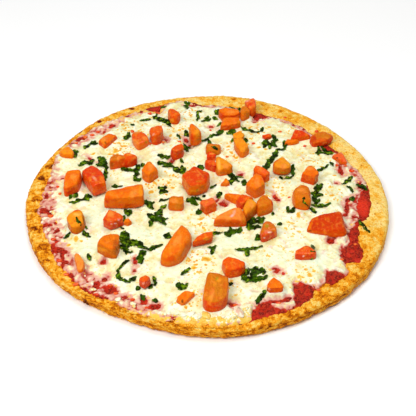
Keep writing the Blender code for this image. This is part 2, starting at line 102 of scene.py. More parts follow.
# The side from the base up: how far in from the edge, and the level
SIDE_PROFILE = (
    (3.6, 0.0), (2.6, 0.15), (1.7, 0.7), (0.9, 1.5), (0.3, 2.5), (0.0, 3.5), (0.0, 4.5), (0.2, 5.6),
    (0.5, 6.6), (1.0, 7.4), (1.9, 8.0), (3.0, 8.3),
)  # fmt: skip

# The crack that runs round the side, and the lowest level of the drips on it
GROOVE_LEVEL = 5.2
GROOVE_WIDTH = 0.55
DRIP_LEVEL = 5

# Layers: thickness, step of the grid, level of the flat base, and how far the grid reaches
SAUCE_THICK = 1.35
CHEESE_THICK = 2.2
SAUCE_STEP = 1.05
CHEESE_STEP = 0.7
SAUCE_BASE = 7.0
CHEESE_BASE = 7.4
GRID_REACH = CRUST_RADIUS - 3

# How far the mesh of a layer goes on past its edge, and how deep it is sunk there
LAYER_MARGIN = 1.2
LAYER_SUNK = 1.2

# How thick the sauce is at its edge, and how deep it is sunk outside
SAUCE_LIP = 0.4
SAUCE_SUNK = 0.9

# A bright wet place in the sauce: x, y, half length, half width
BRIGHT_SAUCE = (108, -12, 7, 15)

# Angle from +X in degrees, and the radius that the sauce reaches there
SAUCE_REACH = (
    (0, 114), (6, 115), (12, 113), (20, 111), (27, 110), (36, 108), (44, 109), (50, 110), (56, 109),
    (62, 108), (68, 109), (80, 111), (92, 113), (98, 119), (104, 119), (108, 118), (113, 118.5),
    (119, 117.5), (128, 118), (136, 118.5), (142, 119), (150, 120.5), (158, 120.5), (165, 117.5),
    (172, 116), (180, 116), (185, 117), (189, 118.5), (193, 116.5), (198, 117), (203, 116), (208, 117.5),
    (214, 119.5), (220, 119.5), (225, 121), (231, 122), (236, 120), (240, 118.5), (245, 120), (250, 121),
    (258, 122), (266, 123), (274, 123.5), (280, 123), (288, 121.5), (296, 121.5), (303, 120.5),
    (306, 114.5), (310, 114), (313, 119), (317, 119), (320, 118), (321.5, 114), (323.5, 114),
    (326, 121.5), (328, 120.5), (330.2, 118), (334.5, 112.8), (337.7, 109.4), (341.5, 108),
    (345.5, 108.4), (347, 110.8), (349, 112.6), (353, 113.7), (357, 114.5),
)  # fmt: skip

# The same for the cheese, whose edge draws back where the sauce lies bare
CHEESE_REACH = (
    (0, 106), (3, 110), (5, 113), (10, 114), (15, 112.5), (19, 111), (24, 109), (27, 106), (31, 101.5),
    (35, 101), (40, 104), (45, 107), (50, 109), (55, 109), (60, 108), (63, 106), (65.5, 101), (68, 98.5),
    (71, 100.5), (75, 107), (80, 110.5), (88, 111), (95, 111.5), (98, 119), (103, 119), (106.5, 117),
    (108.5, 112), (110.5, 109.5), (113, 112), (116, 116), (122, 119), (128, 119), (136, 120), (142, 120),
    (150, 122), (158, 122), (166, 119), (172, 117.5), (180, 117.5), (188, 120), (194, 118), (200, 117.5),
    (206, 117), (211, 118), (216, 119.5), (221, 119), (226, 119.5), (231, 119.5), (236, 118),
    (240, 118.5), (245, 121), (250, 122), (256, 123), (262, 124), (268, 124), (274, 124.5), (280, 124),
    (282.5, 121), (284.5, 113), (287, 110), (289.5, 109), (291, 114), (292.5, 119), (294.5, 120.5),
    (297, 120), (298.3, 113.5), (300, 109), (302, 103.5), (304.5, 103), (305.5, 108), (306.5, 114),
    (308.5, 117), (310.5, 115), (312.6, 111), (315.5, 106.5), (317.2, 111), (318, 119), (320, 118.5),
    (321.5, 115.5), (323.2, 110), (325, 106.5), (327, 104.3), (329.5, 104.5), (331.5, 105.7),
    (333.5, 105), (336, 101.5), (338.5, 103), (340.5, 104), (343.5, 104.5), (346, 106), (350, 105),
    (354, 103.5),
)  # fmt: skip

# Bare spots inside the cheese: x, y, half length, half width, turn
BARE_SPOTS = (
    (11, -9, 3.4, 1.8, -25), (6.5, -5.5, 1.8, 1, 80), (2.5, 82.5, 1.3, 1.1, 0), (-15.5, 64, 2.6, 1, -65),
    (-13.3, 59, 1.6, 0.9, 90), (-32, 65, 2.4, 1.3, 70), (-26, 38.5, 1.7, 1.3, 0),
    (-87, 42.5, 1.9, 0.9, -50), (24, 23.5, 1.5, 1.1, 90), (36, 89, 1.2, 1.1, 0),
    (47.5, -1.5, 3, 0.9, -75), (48.5, -4.3, 1.2, 0.9, 0), (-68, -67.5, 1.9, 1.9, 0),
    (-47, -67, 2.4, 0.8, 100), (-47, -75, 2, 1.3, 80), (-62, -92.5, 4.8, 3.2, -30),
    (-52, -99.5, 1.8, 1, 20), (-40, -103, 2.8, 1.9, 100), (-66, -83.5, 1.7, 1.2, 90),
    (-99, -56.5, 3.6, 2.6, 20), (-102, -64, 6, 1.1, 85), (-95, -62, 4, 1.2, 100),
    (-92.5, -68, 2.5, 1.6, -20), (-94, -75, 5, 1, -80), (-88, -83.5, 3.8, 2.6, -70),
    (-80, -94, 5, 3.4, -10), (-71, -91, 4.6, 2, 80), (-113, -17, 2.8, 2.6, 0), (-109, -18, 3, 0.9, 80),
    (-110, -31.5, 2.8, 1.8, 0), (-102, -37.5, 2.2, 1.6, 60), (-103.5, -29, 1.2, 0.9, 90),
    (-103, -53, 1.7, 1.1, 90), (-113.5, -1.5, 2.4, 0.9, 100), (13, -106.3, 3.2, 1.1, 5),
    (44.5, -76, 1.7, 1.2, 70), (49, -78, 1.2, 1, 0), (43, -73.5, 1.2, 0.9, 0), (82, -47.5, 1.9, 1.6, 0),
    (84.5, -46, 2.2, 0.9, 20), (96.5, -14, 4.6, 1.1, 85), (98.5, -5, 2.6, 1.1, 70),
    (95, -20.5, 2, 1.4, 0), (93.5, -33.5, 1.4, 1, 90), (96.5, 31, 3, 1.2, 100), (97, 25.5, 2, 1.1, 100),
    (92.3, 13.8, 1, 1, 0), (41, -103.3, 5.5, 1.1, 5), (49.5, -101, 2, 1.5, 30), (101, -23, 1.5, 1, 0),
    (-12, 111, 2, 1, 0), (-4, 110.5, 3, 1, 0), (-79, 76, 1.6, 0.9, 60), (-73, 84, 2.2, 1.4, 30),
    (-104, 19.5, 1.3, 1.2, 0), (-96, 66.5, 3.6, 1.8, 20), (-50, -112, 2.6, 2.6, 0),
    (-33, -108, 4, 2.6, 20), (74, 79.5, 1.4, 1, 60), (71, 84, 2.5, 0.9, -50),
)  # fmt: skip

# Angle, and how far in from its edge the cheese is thin and pink
THIN_BAND = (
    (0, 6), (8, 11), (22, 10), (30, 8), (38, 4), (55, 6), (62, 6), (68, 3), (75, 4), (85, 5), (92, 4),
    (105, 4), (112, 6), (118, 9), (126, 13), (135, 13), (142, 16), (150, 15), (158, 8), (166, 14),
    (175, 16), (185, 18), (193, 20), (200, 19), (207, 16), (214, 18), (222, 20), (232, 18), (240, 16),
    (250, 13), (258, 12), (265, 4), (275, 2), (285, 3), (292, 2), (300, 1.5), (308, 6), (315, 1.5),
    (322, 2), (335, 2), (342, 5), (350, 6),
)  # fmt: skip

# Thin pink places further in: x, y, half length, half width, turn, strength
THIN_SPOTS = (
    (-64, -79, 7, 4, 80, 0.7), (-76, -85, 6, 4, 0, 0.5), (-100, -37, 6, 5, 0, 0.6),
    (-110, -9, 9, 5, 80, 0.6), (-67, -69, 4, 3, 0, 0.35), (-48, -71, 8, 2.5, 85, 0.3),
    (-29, -25, 5, 3.5, -40, 0.55), (-24, -21, 5, 3, 0, 0.3), (-3, -31.5, 5, 2.4, 0, 0.45),
    (10, -9, 7, 4.5, -20, 0.6), (9, 6, 4, 3, 0, 0.3), (49, -2, 7, 4, -60, 0.55), (53, -6.5, 3, 2, 0, 0.5),
    (24, 25, 6, 3, 20, 0.45), (31, 58, 4, 4, 0, 0.5), (36, 64, 4, 3, 0, 0.3), (42, 75, 3, 3, 0, 0.5),
    (-17, 64, 4, 7, 0, 0.5), (-31, 64, 5, 6, 0, 0.5), (-38, 57.5, 4, 3, 0, 0.5), (-16, 38, 3, 3, 0, 0.45),
    (-34, 26, 2, 3.5, 0, 0.4), (-86, 47, 4, 4, 0, 0.35), (-65, 72.5, 3, 2, 0, 0.45),
    (-55, 84, 4, 2, 0, 0.45), (-45, 97, 9, 4, 0, 0.5), (-68, 88, 8, 5, 40, 0.55),
    (-92, 65, 12, 7, 60, 0.7), (-87, 74, 9, 4, 60, 0.6), (-105, 31, 5, 5, 0, 0.5), (3, 86, 5, 7, 0, 0.5),
    (-1, 101, 3, 6, 0, 0.4), (14, 43, 3, 3, 0, 0.4), (-8, 43, 3, 3, 0, 0.35), (82, -45, 6, 3, 10, 0.6),
    (92, -43, 5, 2, 10, 0.4), (46, -75, 7, 4, -25, 0.55), (38, -76, 3, 3, 0, 0.3),
    (70, -88, 6, 4, 0, 0.6), (15, -108, 9, 4, 0, 0.5), (-25, -98, 3, 5, 0, 0.4),
    (-33, -100, 8, 6, 0, 0.35), (95, -8, 5, 9, 0, 0.5), (99, -22, 5, 5, 0, 0.6), (96, 31, 4, 5, 0, 0.5),
    (93, 4, 3, 6, 0, 0.3), (97, -32, 5, 6, 0, 0.4), (-5, -74, 7, 5, 0, 0.15), (48, -107, 7, 3, 0, 0.35),
)  # fmt: skip

# How much larger than in the table the browned spots on the cheese are drawn
TOAST_GROWTH = 1.2

# Browned spots on the cheese: x, y, half length, half width
TOASTED = (
    (-67, 60, 2, 1.4), (-62, 57, 2.4, 1.6), (-85, 48, 2, 1.4), (-48, 85, 2, 1), (-64, 84, 2, 1),
    (-64, 79, 2, 1), (-68, 50, 3, 2), (-72, 47, 3, 1.6), (-38, 12, 2, 1.6), (-40, 3, 2.4, 2),
    (-28, 13, 1.6, 2), (-25, 21, 1.6, 1.2), (-25, 8, 2, 1.6), (15, 56, 2, 1.4), (17, 49, 2, 1.4),
    (21, 42, 2, 1.4), (34, 38, 1.6, 1.2), (47, 81, 2.4, 1.2), (33, 82, 2, 1), (33, 72, 1.6, 1),
    (32, 66, 1.6, 1), (38, 55, 2.4, 1.6), (43, 53, 2, 1.4), (73, 38.5, 4.5, 1), (91, 21, 2, 1),
    (87, -1, 2.6, 1.4), (83, -8, 2, 1), (62, -22, 1.8, 3.5), (-5, -26, 2, 1.6), (-6, -31, 2, 1.2),
    (-88, -46, 2, 2.5), (-1, -66, 4, 2.6), (-9, -74, 2.4, 2), (-8, -71, 2, 1.4), (65, -80, 1.8, 2.6),
    (-57, -41, 2.4, 1.2), (-13, 97, 1.6, 1.4), (26, 72, 2, 1.2),
)  # fmt: skip

# How browned the thin edge of the cheese is by angle
EDGE_BROWNING = (
    (0, 0), (100, 0), (112, 0.45), (130, 0.45), (142, 0.2), (160, 0), (238, 0), (248, 0.3), (258, 0.75),
    (268, 0.8), (280, 0.6), (288, 0), (350, 0),
)  # fmt: skip

# Places where the cheese is dotted with small browned specks: x, y, reach, share of them
DOTTED = (
    (-36, 8, 18, 1.0), (-66, 52, 16, 0.9), (20, 50, 20, 1.0), (34, 76, 17, 1.0), (78, 40, 18, 0.8),
    (0, -30, 20, 0.9), (-6, -70, 18, 1.0), (60, -35, 22, 0.5), (-60, 82, 20, 0.9), (-14, 98, 18, 0.9),
    (88, 0, 13, 0.7), (60, -80, 16, 0.7), (-88, -48, 13, 0.6), (10, -92, 18, 0.6), (-20, 20, 22, 0.8),
    (44, -60, 26, 0.4), (-20, 75, 24, 0.8), (50, 5, 28, 0.55), (70, 75, 18, 0.8), (-8, -106, 18, 0.8),
)  # fmt: skip

# Smooth greenish-white places, where the cheese has run: x, y, half length, half width, turn
RUN_SMOOTH = (
    (-47, 27, 14, 7, 0), (-70, -22, 22, 16, 0), (-45, -42, 18, 10, -10), (-80, -55, 14, 12, 0),
    (20, -50, 24, 9, 0), (70, -70, 14, 12, 0), (45, -65, 18, 10, -10), (90, 30, 12, 8, 0),
    (-75, -3, 16, 6, 0), (-20, -78, 14, 9, 0), (60, 12, 12, 7, 0), (-30, 57, 12, 6, 0),
)  # fmt: skip

# Browning of the crust by angle, from pale to brown
BAKE_ROUND = (
    (0, -0.02), (25, 0.02), (45, 0.12), (62, 0.28), (80, 0.2), (100, 0.22), (120, 0.36), (140, 0.48),
    (158, 0.56), (175, 0.52), (192, 0.54), (210, 0.54), (228, 0.56), (245, 0.56), (262, 0.52),
    (278, 0.52), (295, 0.56), (312, 0.6), (325, 0.54), (338, 0.3), (350, 0.04),
)  # fmt: skip

# How rough and crumbly the rim is by angle
ROUGH_ROUND = (
    (0, 0.25), (40, 0.3), (70, 0.5), (100, 0.6), (140, 0.7), (170, 0.9), (200, 0.95), (240, 1.0),
    (285, 1.0), (320, 0.8), (345, 0.4),
)  # fmt: skip

# Blisters on the crust: x, y, half length, half width, height, browning
CRUST_BLISTERS = (
    (-119, -16, 4.5, 2.6, 0.5, 0.9), (-114, 33, 5, 3.4, 0.5, 0.9), (-120, 20, 3, 2.4, 0.4, 0.9),
    (-119, -4, 4, 2.6, 0.4, 0.6), (-106, -66, 3, 2.4, 0.4, 0.6), (-78, -100, 3.4, 2.4, 0.4, 0.7),
    (-108, -53, 5, 4, 0.7, 0.6), (-116, 8, 3, 3, 0.4, 0.5), (-118, -34, 3, 2.4, 0.3, 0.8),
    (-22, -119, 3.6, 2.6, 0.5, 0.8), (20, 121, 3, 2, 0.3, 0.6), (-92, 72, 4, 2, 0.4, 0.7),
    (-96, 63, 4, 2, 0.4, 0.6), (94.3, -74, 4.5, 4, 1.3, 0.1), (58, 104, 3, 1.6, 0.3, 0.5),
)  # fmt: skip

# The share of the browning in the table that the blisters get
BLISTER_BROWNING = 0.85

# Dark drips of sauce on the crust's outer edge: x, y, half length, half width
EDGE_DRIPS = ((-98, 78, 3, 4), (-111, 60, 3, 4), (-121, 42, 3, 3), (-60, 107, 4, 2), (-84, 90, 3, 3))

# Tones of the crust from pale to dark, and from what shade to what shade each one comes in
CRUST_TONES = (
    ("crust_pale", -0.35, -0.05),
    ("crust_golden", -0.05, 0.2),
    ("crust_orange", 0.2, 0.6),
    ("crust_brown", 0.6, 1.0),
    ("crust_dark", 1.0, 1.35),
)

# Display colours as red, green and blue from 0 to 255
COLOURS = {
    "cream": (240, 240, 194),
    # Cheese on the ridges of its relief, whiter partly as painted light; also a faint tint on the floor
    "cheese_white": (246, 249, 222),
    "cheese_cool": (232, 243, 210),
    # Painted shade in the hollows of the cheese's relief
    "cheese_shade": (232, 220, 156),
    "cheese_pink": (226, 168, 146),
    "cheese_rose": (184, 56, 42),
    "toast_yellow": (244, 198, 66),
    "toast_orange": (230, 152, 18),
    "crust_cream": (248, 220, 140),
    "crust_pale": (246, 212, 118),
    "crust_golden": (244, 190, 70),
    "crust_orange": (236, 148, 16),
    "crust_brown": (180, 88, 4),
    "crust_dark": (92, 34, 6),
    "sauce_dark": (118, 14, 8),
    "sauce_red": (172, 30, 14),
    "sauce_bright": (224, 48, 26),
    "sauce_orange": (206, 84, 36),
    "orange": (242, 116, 8),
    "red_orange": (234, 86, 8),
    "red": (224, 54, 6),
    "deep_red": (200, 44, 2),
    "yellow_orange": (244, 152, 24),
    "brown_orange": (212, 112, 12),
    "pink_red": (240, 102, 48),
    "pale_orange": (250, 148, 56),
    "herb_dark": (14, 26, 1),
    "herb": (48, 84, 2),
    # Bright green flecks on the basil: partly the leaf's own green, partly painted highlight
    "herb_green_and_highlight": (132, 164, 14),
    # Painted highlight on the chunks, pale pink
    "pink_highlight": (250, 172, 142),
    "olive": (172, 142, 24),
    "ochre": (204, 116, 14),
    "brown": (176, 80, 16),
    "brown_dark": (92, 40, 12),
    # Pale yellow: a painted highlight on one chunk, and a pale stripe on another
    "yellow_pale": (252, 192, 84),
    # Painted highlight on the chunks, near white
    "glint": (255, 226, 216),
    "floor": (254, 254, 254),
}

# Chunks of tomato: height over the cheese, tones of the upper face and the sides, outline in view
# The side tones are darker partly by the skin and partly as painted shade
CHUNKS = {
    "edge_left": (4, "yellow_orange", "orange", (-110.5, 50.5), (-109, 54.5), (-106, 57.5), (-103, 56.5),
        (-100.5, 52.5), (-99.3, 46), (-99.7, 43), (-102.5, 43.3), (-106.5, 43.7), (-109.5, 46.5)),
    "leaf_lean": (3.5, "orange", "red_orange", (-83.8, 63.2), (-79, 70), (-75.5, 74.3), (-72, 73),
        (-67.8, 71.3), (-68.8, 67.5), (-73, 61), (-76.3, 55.3), (-79.5, 58.8)),
    "seeded": (5, "red_orange", "orange", (-57.8, 68), (-56, 76), (-52.5, 77), (-49.5, 72.5),
        (-46.5, 70.5), (-44.8, 66), (-45, 59.5), (-47.5, 56), (-51, 53.5), (-53, 54.8), (-56, 61)),
    "twin_left": (8, "brown_orange", "red_orange", (-72.2, 45.5), (-69.5, 47.6), (-63.5, 47.5),
        (-60.8, 45.5), (-60.3, 33), (-64.5, 31.3), (-70.5, 29.8), (-71.8, 36)),
    "twin_right": (8, "red_orange", "red", (-62.5, 46.5), (-59, 49.8), (-55.5, 48.7), (-51.4, 45),
        (-51.6, 40), (-53, 35.5), (-56, 33.3), (-62.5, 32.3)),
    "far_left": (8, "orange", "red_orange", (-102.8, 25), (-101.5, 27.3), (-96, 29), (-94, 28.5),
        (-91.5, 25.5), (-90.5, 18), (-90.7, 10), (-92, 4.5), (-98.5, -0.5), (-100.5, 0.5), (-102.2, 8),
        (-103, 16)),
    "slant_left": (7, "red", "red_orange", (-90.8, 27), (-85, 33.8), (-78.5, 28), (-76.5, 25), (-74, 15),
        (-72.2, 10), (-72, 7), (-75, 5.5), (-78.5, 2.5), (-80.5, 2), (-83, 6), (-89.5, 19)),
    "diamond": (8, "orange", "orange", (-44, 37.5), (-42.5, 38.2), (-40, 35), (-37, 29.5), (-35.7, 22),
        (-38.5, 18.5), (-41.5, 15.3), (-44.5, 17), (-48.5, 23.5), (-46.5, 32)),
    "loaf": (9, "orange", "orange", (-72.2, 1), (-71, 5), (-65, 6.7), (-57, 8), (-50, 14), (-47.5, 13),
        (-46, 5), (-45.3, -6), (-45.5, -9.5), (-53, -12), (-64, -12.3), (-72, -11.5), (-73.5, -8)),
    "wet_left": (6, "red_orange", "red", (-68.3, -15.3), (-61, -19), (-58.3, -22), (-58, -31), (-62, -33),
        (-66, -35), (-68.5, -33.3), (-71.5, -31), (-72.3, -28), (-70, -20)),
    "wet_side": (4, "orange", "orange", (-56.5, -25), (-54, -24), (-52.5, -26.5), (-51.7, -30.5),
        (-54, -32.3), (-56.5, -31.5), (-57.5, -28)),
    "button_left": (7, "yellow_orange", "brown_orange", (-95.5, -20), (-93.5, -17), (-90, -14.8),
        (-87, -16.5), (-85.5, -20), (-83, -30), (-83.8, -34.5), (-86.5, -39), (-89, -40), (-92, -38),
        (-95.3, -30), (-96.5, -23)),
    "ridge": (8, "orange", "brown_orange", (-74.3, -53.5), (-72.5, -48), (-70, -42.5), (-67, -41),
        (-62, -41), (-60.3, -42), (-59.7, -57), (-61, -62), (-65, -61.8), (-73, -56)),
    "cube_mid": (6, "brown_orange", "orange", (-27.3, -3), (-26.3, -1.2), (-17.7, -1), (-16.5, -10),
        (-17.3, -15), (-18.5, -16.5), (-26, -16), (-27.7, -13)),
    "heart": (8, "red", "orange", (-19.3, 19), (-17.5, 22.5), (-10, 32), (-6, 29.5), (0, 23), (1.5, 20.5),
        (-1.2, 13), (-1.7, 7), (-5, 4.5), (-8, 3), (-13, 3), (-15, 8)),
    "crumb_mid": (3.5, "orange", "orange", (12.5, 20), (14.5, 17.5), (15.7, 14.5), (15, 11), (13, 10),
        (10, 10.3), (7.3, 11.2), (10.5, 16.5)),
    "stack_top": (4, "brown_orange", "brown_orange", (-1.5, 58), (-1, 61), (3, 61.8), (8.7, 61.2),
        (9.5, 50), (8, 47.5), (4, 46.5), (-1, 48)),
    "stack_mid": (4, "red", "red", (-0.8, 46), (0.5, 50.3), (3, 49.5), (5.8, 47), (6.3, 43.5), (5, 39.8),
        (-0.5, 40)),
    "stack_low": (6, "red_orange", "red", (-3, 37), (-1.5, 40.5), (5.5, 40), (6.2, 37), (6, 28),
        (4.5, 26.5), (-1.5, 30)),
    "shell": (7, "yellow_orange", "orange", (5.8, 41), (6.5, 44.5), (8.8, 44.5), (14, 39), (17.5, 36),
        (19.5, 31.5), (19, 28), (17, 25.3), (8.5, 22.3), (6.3, 24.5)),
    "golden_top": (4, "yellow_orange", "yellow_orange", (18.3, 71.5), (20.5, 74.8), (23.5, 77.5),
        (26, 75.5), (27.3, 72), (27, 67), (26, 64.3), (23.5, 63), (19.7, 65)),
    "golden_low": (6, "yellow_orange", "orange", (20.3, 61), (20.5, 66), (25.5, 66.5), (29.5, 57.5),
        (31.7, 53), (28, 46.8), (26, 45), (23.8, 45.8), (21, 52)),
    "wedge_back": (10, "orange", "orange", (-14, 86.5), (-13.2, 87.7), (-8.5, 84), (-5.5, 78.5),
        (-4.2, 66), (-5.5, 63.5), (-9, 60), (-12.5, 60), (-14.5, 70)),
    "back_left": (7, "red_orange", "red_orange", (-31.7, 101), (-31, 105.5), (-29.3, 107.3), (-26.5, 106),
        (-22.5, 101.5), (-20.8, 97.5), (-21.5, 91.5), (-23.5, 86.3), (-26.5, 86), (-29, 87.5),
        (-30.8, 94)),
    "upright_left": (9, "red_orange", "red_orange", (-44.5, 79), (-43, 82.5), (-39, 84.5), (-35.7, 84.7),
        (-33.3, 73.5), (-34, 67), (-35.5, 61.5), (-38.5, 59.5), (-41.5, 60.5), (-44.5, 70)),
    "small_left": (7, "red_orange", "red", (-20.3, 60.2), (-18.3, 56), (-18.5, 48), (-19.5, 44.5),
        (-23.5, 42), (-26, 44), (-28.5, 49), (-28.5, 52.5), (-25.5, 56)),
    "slab_back": (6, "orange", "red_orange", (8.7, 97), (8.7, 102), (10, 105.5), (14, 106.5), (20, 106.3),
        (23.3, 105), (24, 100), (23.7, 94), (20, 91), (12, 90.5)),
    "slab_front": (5, "orange", "red_orange", (11.8, 92), (14, 94), (23.5, 94), (24.7, 86), (24, 82),
        (22, 80.5), (15, 78.3), (10.3, 78), (9.3, 80)),
    "back_tall": (10, "pink_red", "red_orange", (27.5, 112), (29, 115.5), (31, 118.2), (33.5, 119.7),
        (36.5, 120), (38.2, 109), (38, 104.5), (36.5, 100), (34, 97.5), (31.5, 99)),
    "back_low": (7, "brown_orange", "orange", (25.3, 105), (26.5, 110), (30, 111), (32, 107), (33.7, 98),
        (31.5, 93.5), (27.5, 90.2), (25.5, 91.5)),
    "dull_bead": (4, "red_orange", "red", (41, 71), (42.5, 72.5), (46.5, 73.8), (48.5, 71.5), (48, 68),
        (46, 66), (44, 65.3), (41.5, 67.5)),
    "red_wedge": (4, "red", "red_orange", (67.3, 78), (70.5, 77), (74.5, 73.5), (77, 71), (76.5, 68),
        (68, 65), (63.5, 65), (66, 75)),
    "red_tail": (3, "orange", "orange", (60.5, 66.5), (67, 65.5), (69.5, 64.5), (67, 60.7), (63.5, 59.3),
        (58.8, 58.8), (58.3, 61.5)),
    "rim_right": (4, "brown_orange", "red", (76.5, 67), (79, 71), (81, 74), (86, 76), (90, 75), (95, 70),
        (93, 66), (89.5, 61.5), (84, 58.5), (79.5, 57.5)),
    "low_right": (3, "pink_red", "red_orange", (90, 45), (95, 49), (99.5, 50.5), (101, 46), (102, 39),
        (100.5, 35.5), (96.5, 36.5), (93, 41)),
    "ringed": (6, "yellow_orange", "brown_orange", (47.2, 27.5), (47.5, 33), (49.5, 39), (55.5, 45.5),
        (58, 40), (60.3, 37), (60.5, 32), (58.5, 26), (55.5, 24.5), (50, 24.8)),
    "right_gem": (8, "orange", "red_orange", (73, 33.5), (75.3, 33.8), (78, 30.5), (79.5, 26), (79.3, 20),
        (78, 15.5), (75, 11.8), (72.5, 13), (65.7, 16.5), (65.4, 22)),
    "pair_back": (7, "red_orange", "red_orange", (34.5, 33.2), (36.5, 33.5), (40, 31), (43, 28),
        (44.6, 24), (44.3, 18.5), (40, 15.5), (34, 20), (32.3, 26)),
    "pair_front": (9, "orange", "orange", (35, 23.8), (37, 21.5), (41.2, 6.5), (40.8, 4.5), (37, 1),
        (33.2, -1.5), (27.2, 4.5), (27.3, 9.5), (28.7, 14.5)),
    "cluster_a": (5, "orange", "orange", (11.3, 1.8), (15, 2.5), (20, 2), (24, 0.2), (24, -4), (21, -10),
        (18.5, -9), (11.7, -3)),
    "cluster_b": (7, "red_orange", "red", (24.5, 1.2), (30.5, -2), (33.5, -7.5), (25, -14), (23, -14.5),
        (20.5, -12), (19.5, -8), (20.5, -4)),
    "cluster_c": (8, "yellow_orange", "brown_orange", (28.5, -4.5), (31.5, -6), (33.8, -9.5), (34.7, -13),
        (33.5, -17.5), (27, -26), (25.3, -25), (24, -19), (24.3, -14)),
    "cluster_d": (8, "brown_orange", "orange", (39, 1), (41, 0.5), (43.5, -3.5), (45.8, -8),
        (46.2, -11.5), (42.5, -18), (38.5, -20), (35.5, -21), (34.3, -17), (34.5, -6.5)),
    "fan": (7, "pale_orange", "red_orange", (2, -29.3), (4.5, -25), (8, -19.5), (12, -16.5), (20, -13),
        (22.5, -14), (24.3, -18), (26.7, -31.5), (21, -32.7), (4, -32)),
    "pink_cube": (7, "pink_red", "red_orange", (2.7, -2.5), (4, -3.5), (5.5, -7), (6.8, -13), (5.5, -16),
        (-1, -20.3), (-2.5, -19), (-7.5, -10.5), (-3.5, -4)),
    "brown_cube": (8, "brown_orange", "orange", (60, 5), (61.5, 8), (65, 11.5), (68, 13), (70, 11.5),
        (71.7, 8.5), (72.2, 0), (71, -11.5), (68, -15), (60.5, -12.5), (59.3, -8)),
    "red_tile": (4, "deep_red", "red_orange", (74.5, -21.8), (80, -20.8), (89, -18), (91.8, -19.2),
        (93, -40), (90, -42.3), (86, -42.5), (73, -40), (67.5, -38), (68.5, -31), (71, -25)),
    "wet_mid": (7, "brown_orange", "red", (40.5, -26.8), (43.5, -28.5), (46, -32), (47, -38), (46, -42.5),
        (37.5, -48), (35.5, -47), (34.5, -42), (37.5, -30)),
    "boat": (9, "orange", "orange", (-18, -29.3), (-15.5, -32), (-13, -36.5), (-11.5, -42), (-11.3, -50),
        (-15.5, -63.5), (-17, -66.5), (-20, -69), (-24, -71), (-29, -69.5), (-31.7, -67), (-31.5, -62),
        (-22.5, -38.5)),
    "boat_fin": (4, "red_orange", "red_orange", (-11, -50), (-8, -44), (-3, -40), (2.5, -38.5),
        (3.3, -43), (2, -47.5), (-7, -51), (-10.5, -52)),
    "pentagon": (7, "red_orange", "red_orange", (8, -69.5), (10, -65.5), (13, -63.5), (17, -64),
        (24.2, -68), (23.8, -74), (22.5, -78), (20, -80.5), (14, -82), (11.5, -80.5)),
    "big_block": (10, "ochre", "red_orange", (-1, -81), (0, -77.2), (5, -77.5), (12.5, -80.5), (13, -84),
        (12, -100), (11, -106), (8, -109.5), (3, -111.3), (-1, -110), (-3, -106), (-3, -98)),
    "front_flake": (3, "orange", "orange", (-20.5, -101.5), (-17.5, -97), (-15, -94.5), (-13, -94.3),
        (-8.3, -96), (-8.2, -98), (-14, -105.5), (-16, -106.2), (-18.8, -104.3)),
    "front_tip": (4, "orange", "red_orange", (42.5, -81.5), (45, -84), (48.3, -91.5), (46, -94.8),
        (39, -95.3), (37, -93), (38, -88)),
    "strapped": (5, "red_orange", "red", (64.5, -52), (66.5, -52.5), (71, -57), (71, -62.5), (69, -65),
        (61, -65.5), (57.3, -64.5), (58.5, -56)),
    "left_sliver": (3, "pale_orange", "orange", (-88, -60), (-86.5, -59.3), (-84, -61), (-81, -66),
        (-79.8, -71), (-80, -75), (-82, -77), (-83.8, -76)),
    "front_bead": (5, "red_orange", "red", (-40, -79.7), (-36.5, -82), (-36, -85), (-37.5, -88.5),
        (-40.5, -91), (-43, -88.5), (-44.5, -85.5), (-43.5, -82)),
}  # fmt: skip

# Chunks that are wet with juice
WET_CHUNKS = (
    "seeded", "slant_left", "wet_left", "stack_low", "wet_mid", "strapped", "front_bead",
)  # fmt: skip

# Chunks whose edges are soft and round
SOFT_CHUNKS = (
    "button_left", "twin_left", "twin_right", "cluster_c", "cluster_d", "ringed", "shell", "fan",
    "brown_cube", "boat", "rim_right", "left_sliver", "front_bead", "wet_mid", "stack_top", "golden_low",
    "wedge_back", "seeded", "leaf_lean", "cluster_a", "dull_bead", "low_right", "edge_left",
)  # fmt: skip

# Chunks whose outline is drawn fuller than the others, and by how much
CHUNK_SWELL = {
    "heart": 1.18, "diamond": 1.17, "ridge": 1.2, "cluster_b": 1.15, "cluster_c": 1.22,
    "cluster_d": 1.17, "pair_front": 1.2, "pair_back": 1.15, "golden_low": 1.18, "red_wedge": 1.3,
    "red_tail": 1.2, "small_left": 1.18, "slab_back": 1.15, "slab_front": 1.12, "boat": 1.1,
    "slant_left": 1.12, "back_tall": 1.15, "rim_right": 1.12, "seeded": 1.1, "twin_right": 1.12,
}  # fmt: skip

# How much fuller the other outlines are drawn, and then those of soft chunks once more
PLAIN_SWELL = 1.07
SOFT_SWELL = 1.06

# The least share of its foot that the top of a chunk has
LEAST_TOP = 0.36

# How far over its foot a chunk's outline shows, and how deep its mesh is sunk under the foot
FOOT_RISE = 0.5
FOOT_SUNK = 0.6

# The highest level of a chunk before its fine relief
CHUNK_CEILING = 22.4

# How fine the balls are that chunks and lumps are cut from, and how crisp the edges of chunks are
CHUNK_FINENESS = 5
LUMP_FINENESS = 3
CRISP = 22
SOFT_CRISP = 9

# How far round a chunk the cheese rises, and how high up it, unless its foot is on other chunks
HUG_WIDTH = 3.2
HUG_LIFT = 0.45
STACKED_FOOT = 12

# Patches this near the middle of a chunk are its own, and chunks this near a shred may be in its way
BLOTCH_REACH = 30
CHUNK_REACH = 40
